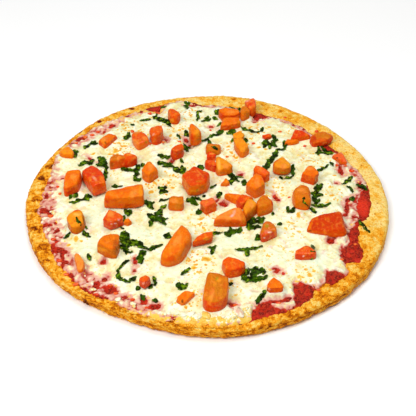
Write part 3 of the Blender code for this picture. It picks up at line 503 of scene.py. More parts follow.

# Patches of another tone on the chunks, as the camera sees them: place, half sizes, turn and tone
# The glint and pale pink patches, and one pale yellow one, are painted highlights; darker patches marked
# below are painted shade
TONE_AND_LIGHT_PATCHES = (
    (-53.5, 68.5, 4, 2.8, 0, "red"), (-47.5, 67, 4, 2.4, -60, "pale_orange"),
    (-46.5, 62.5, 2.2, 1.6, 80, "olive"), (-54, 75, 3, 1.8, 0, "yellow_orange"),
    (-54, 62, 6, 2, -65, "pale_orange"), (-77.2, 61.5, 2.4, 1, -70, "brown_dark"),
    (-78, 66, 4, 2.4, 45, "pale_orange"), (-70.5, 35, 5, 2, 95, "brown"),
    (-66, 42, 5, 1.4, 90, "pale_orange"), (-54, 39, 5, 3, 90, "red"), (-58, 47, 3, 1.6, 0, "pale_orange"),
    # The long darker patch down the right side is painted shade
    (-98, 3, 4, 3, 0, "red"), (-92, 15, 10, 1.6, 90, "red_orange"), (-97, 21, 4, 3, 90, "pale_orange"),
    # The pale pink patch is a painted highlight
    (-81.5, 19, 4, 1.3, -60, "pink_highlight"), (-86, 24, 5, 3, -40, "red"), (-75, 15, 9, 1.8, -70, "orange"),
    (-42, 32, 5, 2.6, 90, "pale_orange"), (-70.5, -5, 6, 2, 95, "red"),
    (-62, 6.3, 9, 1.2, 8, "red_orange"), (-47.8, 5, 8, 1.6, 92, "yellow_orange"),
    # The darker patch along the lower side is partly the chunk's tone and partly painted shade
    (-52.5, 2, 6, 3, 80, "pale_orange"), (-56, -10.5, 9, 1.8, 0, "red_orange"),
    # The two glint patches are painted highlights
    (-62, -31, 5.5, 3, 0, "red"), (-63, -30, 1.3, 0.8, 0, "glint"), (-65.5, -30.5, 0.9, 0.7, 0, "glint"),
    # The glint patch is a painted highlight
    (-61, -26.5, 1, 0.6, 0, "glint"), (-67, -20, 4, 3, 90, "pale_orange"),
    # The thin dark patch along the right side is painted shade
    (-91, -16.5, 5, 1.5, 15, "red_orange"), (-85, -26, 7, 0.8, -75, "brown_dark"),
    # The pale yellow patch is a painted highlight; the darker one low down is partly painted shade
    (-90, -20.5, 3.6, 2.2, 0, "yellow_pale"), (-89, -35.5, 4, 3.5, 0, "brown_orange"),
    # The long brown patch on the right face is painted shade
    (-88.5, -28, 2, 0.7, -60, "brown_dark"), (-61.3, -52, 10, 2.2, 90, "brown"),
    (-70, -56, 5, 2, -25, "yellow_orange"), (-24, -6, 3.5, 3, 0, "pale_orange"),
    # The deep red patch on the right facet is painted shade
    (-20, -12, 4, 4, 0, "ochre"), (-2.5, 22, 5, 2.8, -60, "deep_red"),
    (-6, 25, 6.5, 0.6, -58, "pale_orange"), (-10.5, 4.8, 3, 1.6, 0, "yellow_orange"),
    (-7.5, 5.5, 2.6, 1.1, 80, "olive"), (-4, 8.5, 3.5, 2.4, 90, "brown_orange"),
    (-13, 11, 2.4, 1.2, 90, "deep_red"), (-6.5, 15.5, 3, 2, 0, "brown_orange"),
    (7.3, 49, 2.6, 2, 0, "ochre"), (5.5, 57, 3, 3, 0, "ochre"), (3, 48, 2.6, 1.2, 0, "pale_orange"),
    (8, 34, 10, 1.4, 90, "yellow_pale"), (13, 33, 4, 3, 90, "pale_orange"),
    (17.6, 30, 5, 1.6, 90, "ochre"), (11, 25, 5, 1.6, 0, "brown_orange"), (22, 56, 6, 1.6, 80, "orange"),
    (29, 54, 4, 2, 80, "ochre"), (-12, 67, 9, 1.8, 95, "red"), (-8.3, 75, 9, 2.4, 95, "yellow_orange"),
    (-9.5, 79, 0.8, 0.7, 0, "brown"), (-7, 65, 3, 2, 60, "brown_orange"),
    # The pale pink and pale orange patches are painted highlights; the red one low down is partly painted
    # shade
    (-41.5, 72, 2.4, 1, 70, "pink_highlight"), (-38, 76, 1.4, 1, 0, "pale_orange"), (-38, 63, 4, 3, 0, "red"),
    # The two brown patches on the right sides are painted shade
    (-34.8, 65, 4, 1.2, 100, "brown"), (-24, 50.5, 4, 3, 0, "red"), (-19.5, 51, 6, 1.3, 90, "brown"),
    (-28, 90, 4, 2, 80, "yellow_orange"), (-25.3, 99.5, 0.9, 0.9, 0, "yellow_orange"),
    (18, 102, 4, 2.6, 0, "pale_orange"), (11, 97, 5, 2, 80, "red"),
    (23.3, 87, 7, 1.6, 90, "brown_orange"), (14, 82, 3, 3, 0, "red"),
    # The pale pink patch is a painted highlight
    (31.3, 117.3, 3.6, 1.6, 45, "pink_highlight"), (33, 112, 6, 2, 60, "red"), (36, 107, 6, 2, 90, "orange"),
    (32.8, 107, 5, 0.9, 90, "pale_orange"), (37.3, 101, 4, 1.2, 90, "red"), (31, 98, 6, 1.6, 90, "ochre"),
    (80, 66, 6, 3, 80, "deep_red"), (80.5, 59, 2.4, 2, 0, "red"), (89, 70, 5, 4, 0, "ochre"),
    (85, 64, 4, 3, 0, "red_orange"), (95.2, 43, 1.3, 0.9, 90, "brown_dark"), (97.5, 40, 2.6, 2, 0, "red"),
    (55, 25.5, 4, 1.3, 0, "olive"), (55, 33, 5, 3, 80, "pale_orange"),
    (50, 39, 3, 1.6, 60, "brown_orange"), (47.8, 35, 3, 0.9, 80, "red"), (68, 17.8, 3, 2.2, 0, "red"),
    (74, 30.5, 3, 2.4, 0, "pale_orange"), (37, 32, 2.6, 1.6, 0, "pink_red"),
    (40, 27, 5, 2, -50, "pink_red"), (40, 18.5, 3, 2.2, 0, "red"), (35, 15, 7, 2.2, 88, "pale_orange"),
    (39.2, 11, 6, 1.3, 100, "ochre"), (22.5, -6, 5, 2.6, 80, "red"), (30, -10, 5, 2, 100, "pale_orange"),
    (27, -23, 3.6, 2, 70, "brown"), (45, -10, 6, 1.2, -80, "red"), (40, -18, 5, 2.2, 0, "brown_orange"),
    # The pale pink and glint patches are painted highlights
    (18, -18.5, 4, 1.2, 80, "pink_highlight"), (16.5, -22, 2, 1.2, 60, "glint"),
    (18, -28, 4.5, 3.6, 0, "red_orange"), (24, -24, 8, 1.8, 98, "brown_orange"),
    (5, -31.3, 2.4, 1, 0, "yellow_orange"), (-5, -12, 6, 2, -60, "brown"), (6, -13, 3.4, 1, 85, "red"),
    (62.5, 9.3, 4.5, 1.4, 42, "red_orange"), (71.3, 4, 8, 0.9, 92, "brown"),
    (66, 6, 4, 2.4, 10, "pale_orange"), (66, -10, 6, 4, 0, "brown_orange"),
    (69, -33, 6, 1.2, 72, "orange"), (68.8, -37.5, 1.6, 0.9, 0, "brown_dark"),
    # The glint patch is a painted highlight
    (40, -32, 3, 1.8, 80, "olive"), (39.5, -42, 5, 5, 0, "red"), (41.5, -39, 1.9, 0.9, 0, "glint"),
    # The glint patch is a painted highlight
    (37.6, -44.5, 0.9, 0.9, 0, "glint"), (45.3, -39, 5, 1.4, 90, "orange"),
    # The brownish patch on the lower right side is painted shade
    (-15, -57, 9, 2, 70, "brown_orange"), (-25, -65, 5, 3.4, 20, "red_orange"),
    (-20.5, -47, 8, 2.6, 68, "pale_orange"), (-1.5, -45.5, 2.6, 1.8, 0, "yellow_orange"),
    (20, -75, 5, 2.6, 60, "red"), (7, -84.3, 2.6, 2, 60, "yellow_orange"),
    (5.8, -83, 2.2, 1, 60, "olive"), (2.5, -97, 7, 2, 85, "pale_orange"), (4, -107.5, 7, 3, 0, "red"),
    (-1.8, -104.5, 2.6, 1.6, 80, "red"), (-16, -103, 2.2, 1, 90, "brown_dark"),
    # The pale pink patch is a painted highlight
    (38.5, -92.5, 1.3, 1, 90, "pink_highlight"), (65.5, -60.5, 3.4, 1.6, 90, "red"),
    # The glint and pale pink patches are painted highlights
    (62.5, -62.3, 1.2, 0.7, 60, "glint"), (-41, -87.5, 1.5, 1.1, 60, "pink_highlight"),
    (-86, -64, 4.5, 1.6, -60, "pale_orange"),
)  # fmt: skip

# Basil shreds: the distance between stations, the gap to chunks, the thickness, vertices across
SHRED_STEP = 0.5
SHRED_GAP = 0.3
SHRED_THICK = 0.3
SHRED_ACROSS = 7

# How much wider than in the table shreds are drawn
SHRED_GROWTH = 1.05

# Basil shreds: x, y, length, heading, bend, width
SHREDS = (
    (-98.5, 47, 12, 95, 20, 4.2), (-90, 57, 9, 55, -30, 3.4), (-83, 58.5, 11, -25, -20, 3.6),
    (-61, 68.5, 11, 80, 30, 3), (-61, 68, 6, 10, 0, 2.6), (-62.5, 66, 4, 130, 0, 2.2),
    (-58, 84, 3.6, 0, 0, 2.2), (-48.5, 90, 9, 5, 20, 2.4), (-89, 37, 14, 42, 0, 4.4),
    (-86, 36.5, 7, 70, 20, 3), (-79, 38, 11, 75, 20, 4), (-76, 36, 12, 95, -20, 4),
    (-78, 33, 6, 10, 0, 3.4), (-80, 42, 4, 150, 0, 2.4), (-73.7, 23.5, 19, -88, 15, 2.8),
    (-66, 29, 12, -12, 10, 3.4), (-55.5, 27, 12, -4, -15, 3.2), (-52, 25.5, 21, 88, 20, 3.2),
    (-50.5, 31, 5, 60, 0, 2.4), (-47.5, 33, 4, 75, 0, 3), (-48.5, 16, 9, 12, -20, 3),
    (-33, 35, 9, -25, 30, 4), (-30, 32, 7, 20, 0, 3), (-22, 28, 14, -38, 0, 3.6),
    (-28, 36.5, 5, 30, 0, 2.4), (-18.3, 28, 10, 95, 10, 3.4), (-32, 5, 10, 65, 30, 3.4),
    (-30.5, 3, 5, -20, 0, 2.4), (-33.5, 7, 4, 20, 0, 2.4), (-30.5, -6, 8.5, 30, 10, 1.9),
    (-31, -13, 5, 40, 0, 3), (-41, -11.5, 11, -56, 15, 4), (-39, -9, 4, 20, 0, 2.4),
    (-34, -20, 9, 60, 20, 4), (-38, -24, 9, -40, 30, 4), (-33, -29, 11, -30, -20, 4),
    (-38.5, -30, 7, 75, 0, 3), (-30, -26, 6, 10, 0, 3), (-35, -25, 8, 20, 30, 4),
    (-4, -1.5, 5, -25, 0, 2.4), (-7, -5, 6, -30, 0, 2.4), (-11, -8.5, 11, -42, 10, 3.8),
    (-10, -5, 7, 5, 0, 2.4), (-6, -19, 6, 60, 0, 4), (-5, -20.5, 7, -5, 0, 3), (8, 0.5, 6, 75, 0, 4),
    (2.5, 8, 8, 28, 10, 2.2), (0, 27, 18, -30, 10, 3.2), (14, 21, 13, -12, 10, 3),
    (17, 14, 9, -100, 30, 3.2), (20, 16.5, 8, -55, 30, 2.8), (22.5, 20.5, 6, 5, -40, 2.4),
    (25.8, 12.5, 7, 80, 10, 3.6), (44, 35, 16, 65, 10, 4.6), (49, 46, 12, 60, 20, 3.6),
    (51, 20.5, 8, -50, 40, 2.8), (57.5, 18.5, 7, 20, 60, 2.8), (61.3, 27, 13, 85, 10, 3),
    (55.3, -17, 7, -80, 20, 2.8), (59, -17, 8, 45, 10, 2.8), (41, -19.5, 9, 55, 30, 3.4),
    (43, -21.5, 5, -20, 0, 2.8), (39, -23, 4, 80, 0, 2.4), (31, -22, 11, 70, 20, 4),
    (34, -29, 12, 30, 30, 4), (29, -31, 12, 60, -30, 4), (32, -35, 8, -10, 0, 3.4),
    (28, -35, 5, 80, 0, 3), (35, -24, 6, 75, 0, 3), (76.5, 4, 13, 70, 20, 4),
    (74.5, -4, 12, 100, 20, 4.4), (78, 7, 7, 25, 0, 3), (78.5, -12, 14, 8, 15, 3), (76, -8, 7, 60, 0, 4),
    (78, -1, 6, 0, 0, 2.6), (72.5, -18, 6, -50, 0, 3), (48.5, -32, 3.6, 10, 0, 2.4),
    (83.5, 29.5, 13, 42, 20, 2.4), (90, 34.5, 5, -60, 0, 2.2), (44, 62, 9, 40, 30, 4),
    (48, 58, 9, -40, 20, 4), (42.5, 57, 6, 70, 0, 3), (50, 62.5, 6, 20, 0, 2.6), (46, 55, 5, 80, 0, 2.6),
    (50, 66.5, 8, -60, 0, 2.8), (57, 59.5, 5, -110, 0, 2.4), (57.2, 55.5, 5, -75, 0, 2.4),
    (54, 52, 8, 190, 0, 2.4), (26.5, 79, 10, -35, 20, 2.8), (34.5, 75, 10, -12, 20, 2.8),
    (41, 77.5, 6, 70, 20, 2.8), (17.5, 73.5, 8, 25, 30, 3), (20, 71, 5, -30, 0, 2.4),
    (16.5, 76, 3.4, 90, 0, 2.2), (-4.5, 62, 12, 42, 10, 3.2), (6.5, 70.5, 16, 35, 10, 3),
    (9, 74, 6, 5, 0, 2.2), (-8, 95, 14, 92, 20, 2.4), (-6.5, 101, 4, 20, 0, 2.2),
    (-1.5, 89.5, 9, 30, 20, 2.4), (5.5, 91.5, 6, -50, 0, 2.4), (-1, 92.5, 5, 40, 0, 2.2),
    (7, 99, 7, -55, 0, 3.2), (9, 102, 4, -20, 0, 2.2), (-17, 110, 12, 95, 20, 3.4),
    (-15.5, 113, 5, 60, 0, 2.4), (-16.5, 72.5, 7, -60, 20, 2.6), (-22, 68.5, 6, -70, 0, 2.4),
    (-16.8, 54.5, 12, -82, 20, 3.6), (-13.5, 56, 6, -10, 0, 2.4), (-22, 41.5, 10, -5, 20, 3.4),
    (-20, 39, 6, -40, 0, 2.8), (-31.5, 43, 12, -12, 20, 3.4), (-34, 45, 4, 70, 0, 2.2),
    (-38, 92, 9, -10, 30, 2.6), (-36.5, 88.5, 8, -25, -20, 2.6), (-41, 95, 8, 75, 10, 2.2),
    (-31.5, 86, 13, -60, 10, 3), (-24, 84, 6, 5, 0, 2.4), (-95, -1, 8, -30, 20, 3.4),
    (-96, -3.5, 4, 60, 0, 2.2), (-91.5, -7.5, 11, 20, 10, 3), (-82, -3, 12, 30, -10, 4.4),
    (-79, 0.5, 5, 50, 0, 2.4), (-64.5, 8.7, 8, 8, 20, 2.8), (-57.5, -30, 14, 85, 15, 2.8),
    (-56.5, -16, 13, 95, 20, 3.2), (-54, -20, 8, 80, 10, 3), (-55, -13, 6, 60, 0, 3),
    (-83, -40, 10, -65, 20, 3), (-80.5, -44, 5, -30, 0, 2.6), (-83, -37, 4, 20, 0, 2.4),
    (-94, -43, 7, 35, 0, 2.6), (-57.5, -46, 15, 80, 20, 4), (-54, -44, 9, 100, 20, 3.6),
    (-53.5, -53, 12, 75, -20, 4), (-57.5, -56, 10, 60, 20, 4), (-50.5, -50, 8, 30, 0, 3.6),
    (-55, -50, 8, 20, 0, 4), (-52, -59, 6, 50, 0, 3), (-44, -53, 11, -45, 10, 4.6),
    (-47, -51, 6, 40, 0, 3.4), (-43.5, -64, 12, -85, 15, 4), (-41.5, -61, 5, 60, 0, 2.6),
    (-35, -55, 12, 30, 10, 2.4), (-37, -57, 5, -5, 0, 2.4), (-54.5, -70.5, 11, -126, 20, 2.6),
    (-57, -80.5, 11, -80, 25, 2.8), (-52, -86.3, 6, -20, 20, 2.8), (-48, -84.5, 7, 45, 20, 2.8),
    (-55.5, -84, 4, 80, 0, 2.4), (-40, -92.5, 11, 5, 40, 2.8), (-36, -91, 5, 60, 0, 2.4),
    (-34, -86, 9, 100, 20, 2.2), (-77.5, -64, 7, -75, 30, 2.6), (27, -56, 19, 8, 15, 2.2),
    (26, -60.5, 6, 75, 0, 3.4), (21, -57.5, 6, -10, 0, 2.2), (3.5, -57, 10, -107, 15, 2.6),
    (1.5, -55, 4, -20, 0, 2.2), (-14.5, -77.5, 9, 55, 0, 2.8), (-18, -91, 6.5, -72, 10, 3),
    (-14.8, -91.5, 7, 50, 10, 3), (-16.5, -90.5, 5, 0, 0, 2.4), (26, -84, 10, 10, 40, 4.6),
    (31, -79, 13, 50, -30, 4.6), (24, -80, 8, 60, 0, 3.6), (34, -83, 9, 20, 30, 3.6),
    (29, -75, 7, 10, 0, 3), (30, -84.5, 8, -15, 0, 4), (36, -78, 5, 70, 0, 2.6),
    (33.5, -99, 10.5, 48, 10, 3), (31, -103, 4, 70, 0, 2.2), (36.5, -95.5, 5, 10, 0, 2.2),
    (33.5, -46.5, 8, -68, 20, 3), (106, -32, 13.5, -63, 5, 2.6), (109, 10.5, 8, -20, 20, 3.8),
    (111, 8, 5, -50, 0, 2.6), (100.5, 16.5, 11, 52, 20, 2.8), (97.5, 13, 5, 10, 0, 2.4),
    (100.5, 6.5, 8, -58, 10, 2.4), (101, -3, 5, 80, 0, 3), (82, 52, 14, 85, 15, 3.2),
    (88.5, 52, 11, -35, 30, 4), (90, 49, 7, 60, 0, 3), (86, 49, 6, 20, 0, 2.6),
    (15.5, -40.5, 10, 20, 30, 5), (6, -41, 8, 15, 0, 3.5), (21, -38, 7, 70, 0, 3),
    (-41, -99, 5, -50, 0, 2.4), (-33, -102, 4, 0, 0, 3), (14, -90, 5, 60, 0, 3), (-27, -44, 6, -20, 0, 4),
    (-35, 109, 5, 0, 30, 2.4), (19, 107, 5, 0, 0, 2.4), (25, 105, 7, 35, 0, 2.4),
    (24.5, 97, 5, 80, 0, 2.4), (8.5, 83.5, 5, 45, 0, 2.4), (18.5, 63, 5, 80, 0, 2.4),
    (28.5, 63, 5, 80, 0, 2.4), (80, 8.5, 7, 60, 0, 2.4),
)  # fmt: skip

# Crumbs of tomato on the cheese: x, y, half width
CRUMBS = (
    (-57.5, 74.5, 1.6), (-43.5, 58, 1.3), (72, 56, 1.2), (104, 28, 1.6), (100, 32, 1.3), (94, 34, 1.2),
    (-45.5, 99, 1.6), (-39, 101, 1.3), (-93, 69, 1.7), (-88, 72, 1.4), (-84, 76, 1.3), (-99, 62, 1.4),
    (-107, 10, 1.2), (-104, 2, 1.3), (-108, -22, 1.5), (-103, -46, 1.4), (-97, -66, 1.6), (-91, -78, 1.5),
    (-84, -87, 1.6), (-70, -96, 1.4), (-62, -88, 1.3), (-47, -101, 1.4), (-38, -108, 1.3),
    (17, -105, 1.4), (44, -104, 1.2), (70, -92, 1.2), (87, -66, 1.3), (98, -50, 1.2), (-69, 45.5, 1.1),
    (-34, 60, 1.2), (34, 60, 1.1), (14, 44, 1.0), (-21.5, 62, 1.2), (5, -12, 1.2), (57, -3, 1.0),
    (-58, -96, 1.3), (2, 77, 1.0), (55, 75, 1.1), (83, 78, 1.4), (60, 96, 1.2),
)  # fmt: skip

# Loose lumps of cheese on the rim: angle from, angle to, radius from, radius to, count, half width
RIM_LUMPS = (
    (256, 282, 113, 119, 16, 2.2), (230, 252, 114, 119, 5, 1.5), (196, 226, 110, 117, 4, 1.3),
    (166, 196, 106, 115, 4, 1.3),
)  # fmt: skip

# Shreds that lie over a chunk: the points that they pass as seen from the camera, and the width
DRAPED_SHREDS = (
    (((0, 66), (1, 61), (3, 56), (7, 52)), 3.2),
    (((69, -52), (68.5, -58), (67, -66)), 3.2),
    (((-90, -24), (-88, -29), (-86, -33)), 2.2),
    (((67, -3), (68, -9), (71, -15)), 3.2),
)


def linear(colour):
    """A display colour as linear light, in red, green and blue."""
    shares = [value / 255 for value in COLOURS[colour]]
    return np.array([s / 12.92 if s <= 0.04045 else ((s + 0.055) / 1.055) ** 2.4 for s in shares])


def blended(first, second, share):
    return first * (1 - share) + second * share


def ease(share):
    share = np.clip(share, 0.0, 1.0)
    return share * share * (3 - 2 * share)


chance = np.random.RandomState(SEED)
LATTICE = chance.permutation(256)
SLOPES = chance.normal(size=(256, 3))
SLOPES /= np.linalg.norm(SLOPES, axis=1)[:, None]
CORNERS = [np.array((a, b, c)) for a in (0, 1) for b in (0, 1) for c in (0, 1)]


def wobble(places, size, layer=0):
    """Smooth random values from about -1 to 1 at (n, 3) places, with bumps as wide as the size."""
    spot = places / size + layer * 17.31
    base = np.floor(spot).astype(int)
    inside = spot - base
    blend = inside**3 * (inside * (inside * 6 - 15) + 10)
    total = np.zeros(len(places))
    for corner in CORNERS:
        index = (base + corner) & 255
        pick = LATTICE[(LATTICE[(LATTICE[index[:, 0]] + index[:, 1]) & 255] + index[:, 2]) & 255]
        push = np.einsum("ij,ij->i", SLOPES[pick], inside - corner)
        total += push * np.prod(np.where(corner, blend, 1 - blend), axis=1)
    return total * 1.6


def cells(places, size, layer=0):
    """The distance to the nearest scattered seed, in sizes, and that seed's own number."""
    spot = places[:, :2] / size + layer * 31.7
    base = np.floor(spot).astype(int)
    nearest = np.full(len(spot), 9.0)
    own = np.zeros(len(spot))
    for across in (-1, 0, 1):
        for along in (-1, 0, 1):
            cell = base + (across, along)
            pick = LATTICE[(LATTICE[(cell[:, 0] + layer) & 255] + cell[:, 1]) & 255]
            reach = np.linalg.norm(spot - cell - 0.5 - 0.45 * SLOPES[pick, :2], axis=1)
            own = np.where(reach < nearest, pick / 255, own)
            nearest = np.minimum(nearest, reach)
    return nearest, own


def around(knots, angle):
    """Values at angles, on a smooth closed run through (angle, value) knots."""
    stops = np.array([knot[0] for knot in knots] + [360 + knots[0][0]], float)
    values = np.array([knot[1] for knot in knots] + [knots[0][1]], float)
    angle = np.mod(angle, 360)
    k = np.searchsorted(stops, angle, side="right") - 1
    return values[k] + (values[k + 1] - values[k]) * ease((angle - stops[k]) / (stops[k + 1] - stops[k]))


def polar(x, y):
    return np.hypot(x, y), np.degrees(np.arctan2(y, x))


def on_plane(x, y):
    return np.column_stack((x, y, np.zeros(len(x))))


def in_layout(x, y):
    """A layout place on the pizza."""
    return np.array((x + LAYOUT_MIDDLE[0], y + LAYOUT_MIDDLE[1]))


def ellipse(x, y, row):
    """How far places are inside an ellipse: 1 in its middle, 0 on its edge, negative outside."""
    turn = math.radians(row[4]) if len(row) > 4 else 0.0
    dx, dy = x - row[0], y - row[1]
    along = dx * math.cos(turn) + dy * math.sin(turn)
    aside = dy * math.cos(turn) - dx * math.sin(turn)
    return 1 - np.hypot(along / row[2], aside / row[3])


def crust_reach(angle):
    waves = (size * np.cos(np.radians(count * angle - phase)) for count, size, phase in CRUST_WAVES)
    return CRUST_RADIUS + sum(waves)


def sauce_reach(angle):
    return np.minimum(around(SAUCE_REACH, angle), crust_reach(angle) - RIM_LEAST)


def sauce_swell(inside):
    """The sauce's height over the crust: a lip at its edge, its full height, and sunk outside."""
    over = SAUCE_LIP * ease(inside / 0.9) + (SAUCE_THICK - SAUCE_LIP) * ease(inside / 4.0)
    return np.where(inside > 0, over, -SAUCE_SUNK * ease(-inside / 1.5))


def camera_place():
    rise = math.radians(CAMERA_RISE)
    back = Vector((0, -math.cos(rise), math.sin(rise)))
    return (Vector(CAMERA_AIM) + back * CAMERA_FAR) * MM, -back


EYE = np.array(camera_place()[0]) / MM


def behind_view(spots, level):
    """The places at a level, in millimetres, that show at layout places from the camera."""
    target = np.column_stack((np.array(spots) + LAYOUT_MIDDLE, np.full(len(spots), LAYOUT_LEVEL)))
    return (EYE + (target - EYE) * (level - EYE[2]) / (LAYOUT_LEVEL - EYE[2]))[:, :2]


def in_view(places):
    """The layout places at which places show from the camera."""
    share = (LAYOUT_LEVEL - EYE[2]) / (places[:, 2] - EYE[2])
    return (EYE + (places - EYE) * share[:, None])[:, :2] - LAYOUT_MIDDLE


def hull_of(spots):
    return spots[geometry.convex_hull_2d([Vector(spot) for spot in spots])]


def common_part(kept, other):
    """The overlap of two convex outlines."""
    for start, end in zip(other, np.roll(other, -1, axis=0)):
        side = end - start
        inward = [side[0] * (spot[1] - start[1]) - side[1] * (spot[0] - start[0]) for spot in kept]
        cut = []
        for k, spot in enumerate(kept):
            if (inward[k] >= 0) != (inward[k - 1] >= 0):
                share = inward[k - 1] / (inward[k - 1] - inward[k])
                cut.append(kept[k - 1] + (spot - kept[k - 1]) * share)
            if inward[k] >= 0:
                cut.append(spot)
        kept = cut
    return np.array(kept)


def area_of(outline):
    x, y = outline.T
    return 0.5 * abs(x @ np.roll(y, 1) - y @ np.roll(x, 1))


def chunk_body(name):
    """The outline of a chunk from above, the level of its foot and the level of its top."""
    height, _, _, *corners = CHUNKS[name]
    corners = np.array(corners)
    middle = corners.mean(axis=0)
    corners = middle + (corners - middle) * CHUNK_SWELL.get(name, PLAIN_SWELL)
    foot = min(vertex.co.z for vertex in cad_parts["tomato_" + name].data.vertices) / MM
    resting = hull_of(behind_view(corners, foot + FOOT_RISE))
    while True:
        raised = hull_of(behind_view(corners, foot + FOOT_RISE + height))
        outline = common_part(list(raised), resting)
        if len(outline) > 2 and area_of(outline) > LEAST_TOP * area_of(resting):
            return outline, foot, foot + FOOT_RISE + height
        height *= 0.9


BODIES = {name: chunk_body(name) for name in CHUNKS}
FOOTPRINTS = [(outline, foot) for outline, foot, _ in BODIES.values()]


def outline_distance(x, y, outline):
    """Distance from places to a convex outline, negative inside it."""
    nearest = np.full(len(x), 1e9)
    inside = np.ones(len(x), bool)
    for start, end in zip(outline, np.roll(outline, -1, axis=0)):
        side = end - start
        share = np.clip(((x - start[0]) * side[0] + (y - start[1]) * side[1]) / (side @ side), 0, 1)
        reach = np.hypot(x - start[0] - share * side[0], y - start[1] - share * side[1])
        nearest = np.minimum(nearest, reach)
        inside &= side[0] * (y - start[1]) - side[1] * (x - start[0]) >= 0
    return np.where(inside, -nearest, nearest)


def hug_chunks(x, y, height):
    """Raises a surface to meet the foot of every chunk."""
    raised = height.copy()
    for outline, foot in FOOTPRINTS:
        low, high = outline.min(axis=0) - HUG_WIDTH, outline.max(axis=0) + HUG_WIDTH
        near = np.flatnonzero((x > low[0]) & (x < high[0]) & (y > low[1]) & (y < high[1]))
        if len(near) == 0 or foot > STACKED_FOOT:
            continue
        gap = outline_distance(x[near], y[near], outline)
        share = ease(1 - np.maximum(gap, 0) / HUG_WIDTH)
        goal = foot + HUG_LIFT * share
        raised[near] = np.maximum(raised[near], raised[near] + (goal - raised[near]) * share)
    return raised


def crust_top(x, y):
    """The crust's upper face without its grain."""
    radius, angle = polar(x, y)
    down = ease((sauce_reach(angle) + SLOPE_OUT - radius) / (SLOPE_OUT - SLOPE_IN))
    return RIM_TOP + (CRUST_FLOOR - RIM_TOP) * down


def sauce_layer(x, y):
    """The sauce's upper face, how far inside its edge each place is, its grain and its cells."""
    radius, angle = polar(x, y)
    places = on_plane(x, y)
    inside = sauce_reach(angle) - radius + 1.0 * wobble(places, 5.5, 1) + 0.6 * wobble(places, 2.2, 2)
    nearest, own = cells(places, 2.4, 3)
    grain = 0.5 * (0.55 - nearest) + 0.3 * wobble(places, 1.6, 4) + 0.4 * wobble(places, 5, 5)
    return crust_top(x, y) + sauce_swell(inside), inside, grain * ease(inside / 2), own


def cheese_edge(x, y, depth, sauce_inside):
    """How far inside the ragged edges of the cheese each place is."""
    places = on_plane(x, y)
    clear = np.full(len(x), 9.0)
    for row in BARE_SPOTS:
        clear = np.minimum(clear, -ellipse(x, y, row) * min(row[2], row[3]) - 0.35)
    ragged = 1.1 * wobble(places, 6, 6) + 1.2 * wobble(places, 2.6, 7)
    return np.minimum(np.minimum(depth + ragged + 0.6, clear + 0.75 * ragged), sauce_inside + 0.3)


def cheese_marks(x, y, depth, angle):
    """How toasted, how smooth and how dotted the cheese is at each place."""
    places = on_plane(x, y)
    toast = np.zeros(len(x))
    for spot_x, spot_y, *halves in TOASTED:
        grown = (*in_layout(spot_x, spot_y), *(half * TOAST_GROWTH for half in halves))
        toast = np.maximum(toast, ease(1.3 * ellipse(x, y, grown)))
    edge = ease(1.05 - depth / 8 + 0.6 * wobble(places, 3, 17) + 0.5 * wobble(places, 1.4, 18))
    toast = np.maximum(toast, around(EDGE_BROWNING, angle) * edge)
    run, dotted = np.zeros(len(x)), np.full(len(x), 0.3)
    ruffle = 0.25 * wobble(places, 8, 16)
    for row in RUN_SMOOTH:
        run = np.maximum(run, ease(1.2 * ellipse(x, y, row) + ruffle))
    for spot_x, spot_y, reach, share in DOTTED:
        spot = ease(1.5 * ellipse(x, y, (spot_x, spot_y, reach, reach)) + ruffle)
        dotted = np.maximum(dotted, share * spot)
    return {"toast": toast, "run": run, "dotted": dotted}


def cheese_layer(x, y):
    """The cheese's upper face, how far inside its edge each place is, and what its paint reads."""
    radius, angle = polar(x, y)
    places = on_plane(x, y)
    sauce, sauce_inside, _, _ = sauce_layer(x, y)
    depth = around(CHEESE_REACH, angle) - radius
    inside = cheese_edge(x, y, depth, sauce_inside)
    thin = ease(1.25 - depth / around(THIN_BAND, angle)) + 0.25 * wobble(places, 7, 8)
    ruffle = 0.3 * wobble(places, 4, 9)
    for row in THIN_SPOTS:
        thin = np.maximum(thin, row[5] * ease(1.3 * ellipse(x, y, row) + ruffle))
    thin = np.clip(thin, 0, 1)
    bent = places + 1.2 * on_plane(wobble(places, 4, 10), wobble(places, 4, 19))
    lumps = np.zeros(len(x))
    for size, share in ((5.4, 1.0), (3.3, 0.8)):
        nearest, own = cells(bent, size, 11)
        lumps = np.maximum(lumps, share * ease(1.1 - nearest / 0.6) * (0.45 + 0.55 * own))
    strands = np.clip(1 - np.abs(wobble(bent, 6.5, 15)) * 3.0, 0, 1)
    hills = 0.55 * wobble(places, 11, 12) + 0.55 * wobble(places, 5, 13) + 0.24 * wobble(places, 2.2, 14)
    whole = 0.6 + (CHEESE_THICK - 0.6) * ease(inside / 5) + (hills + 0.45 * strands) * ease(inside / 3)
    scant = -0.02 + 1.25 * lumps + 0.4 * hills
    body = whole * (1 - thin) + scant * thin
    body = np.where(inside > 0, body, -1.0 * ease(-inside / 1.2) + np.minimum(body, 0))
    # How high the relief stands: the paint turns it into painted shade in the hollows and painted light on
    # the ridges
    high = 0.45 + 0.6 * hills + 0.5 * (strands - 0.4)
    values = {"body": body, "high": high, **cheese_marks(x, y, depth, angle)}
    return sauce + np.maximum(body, -LAYER_SUNK), inside, values


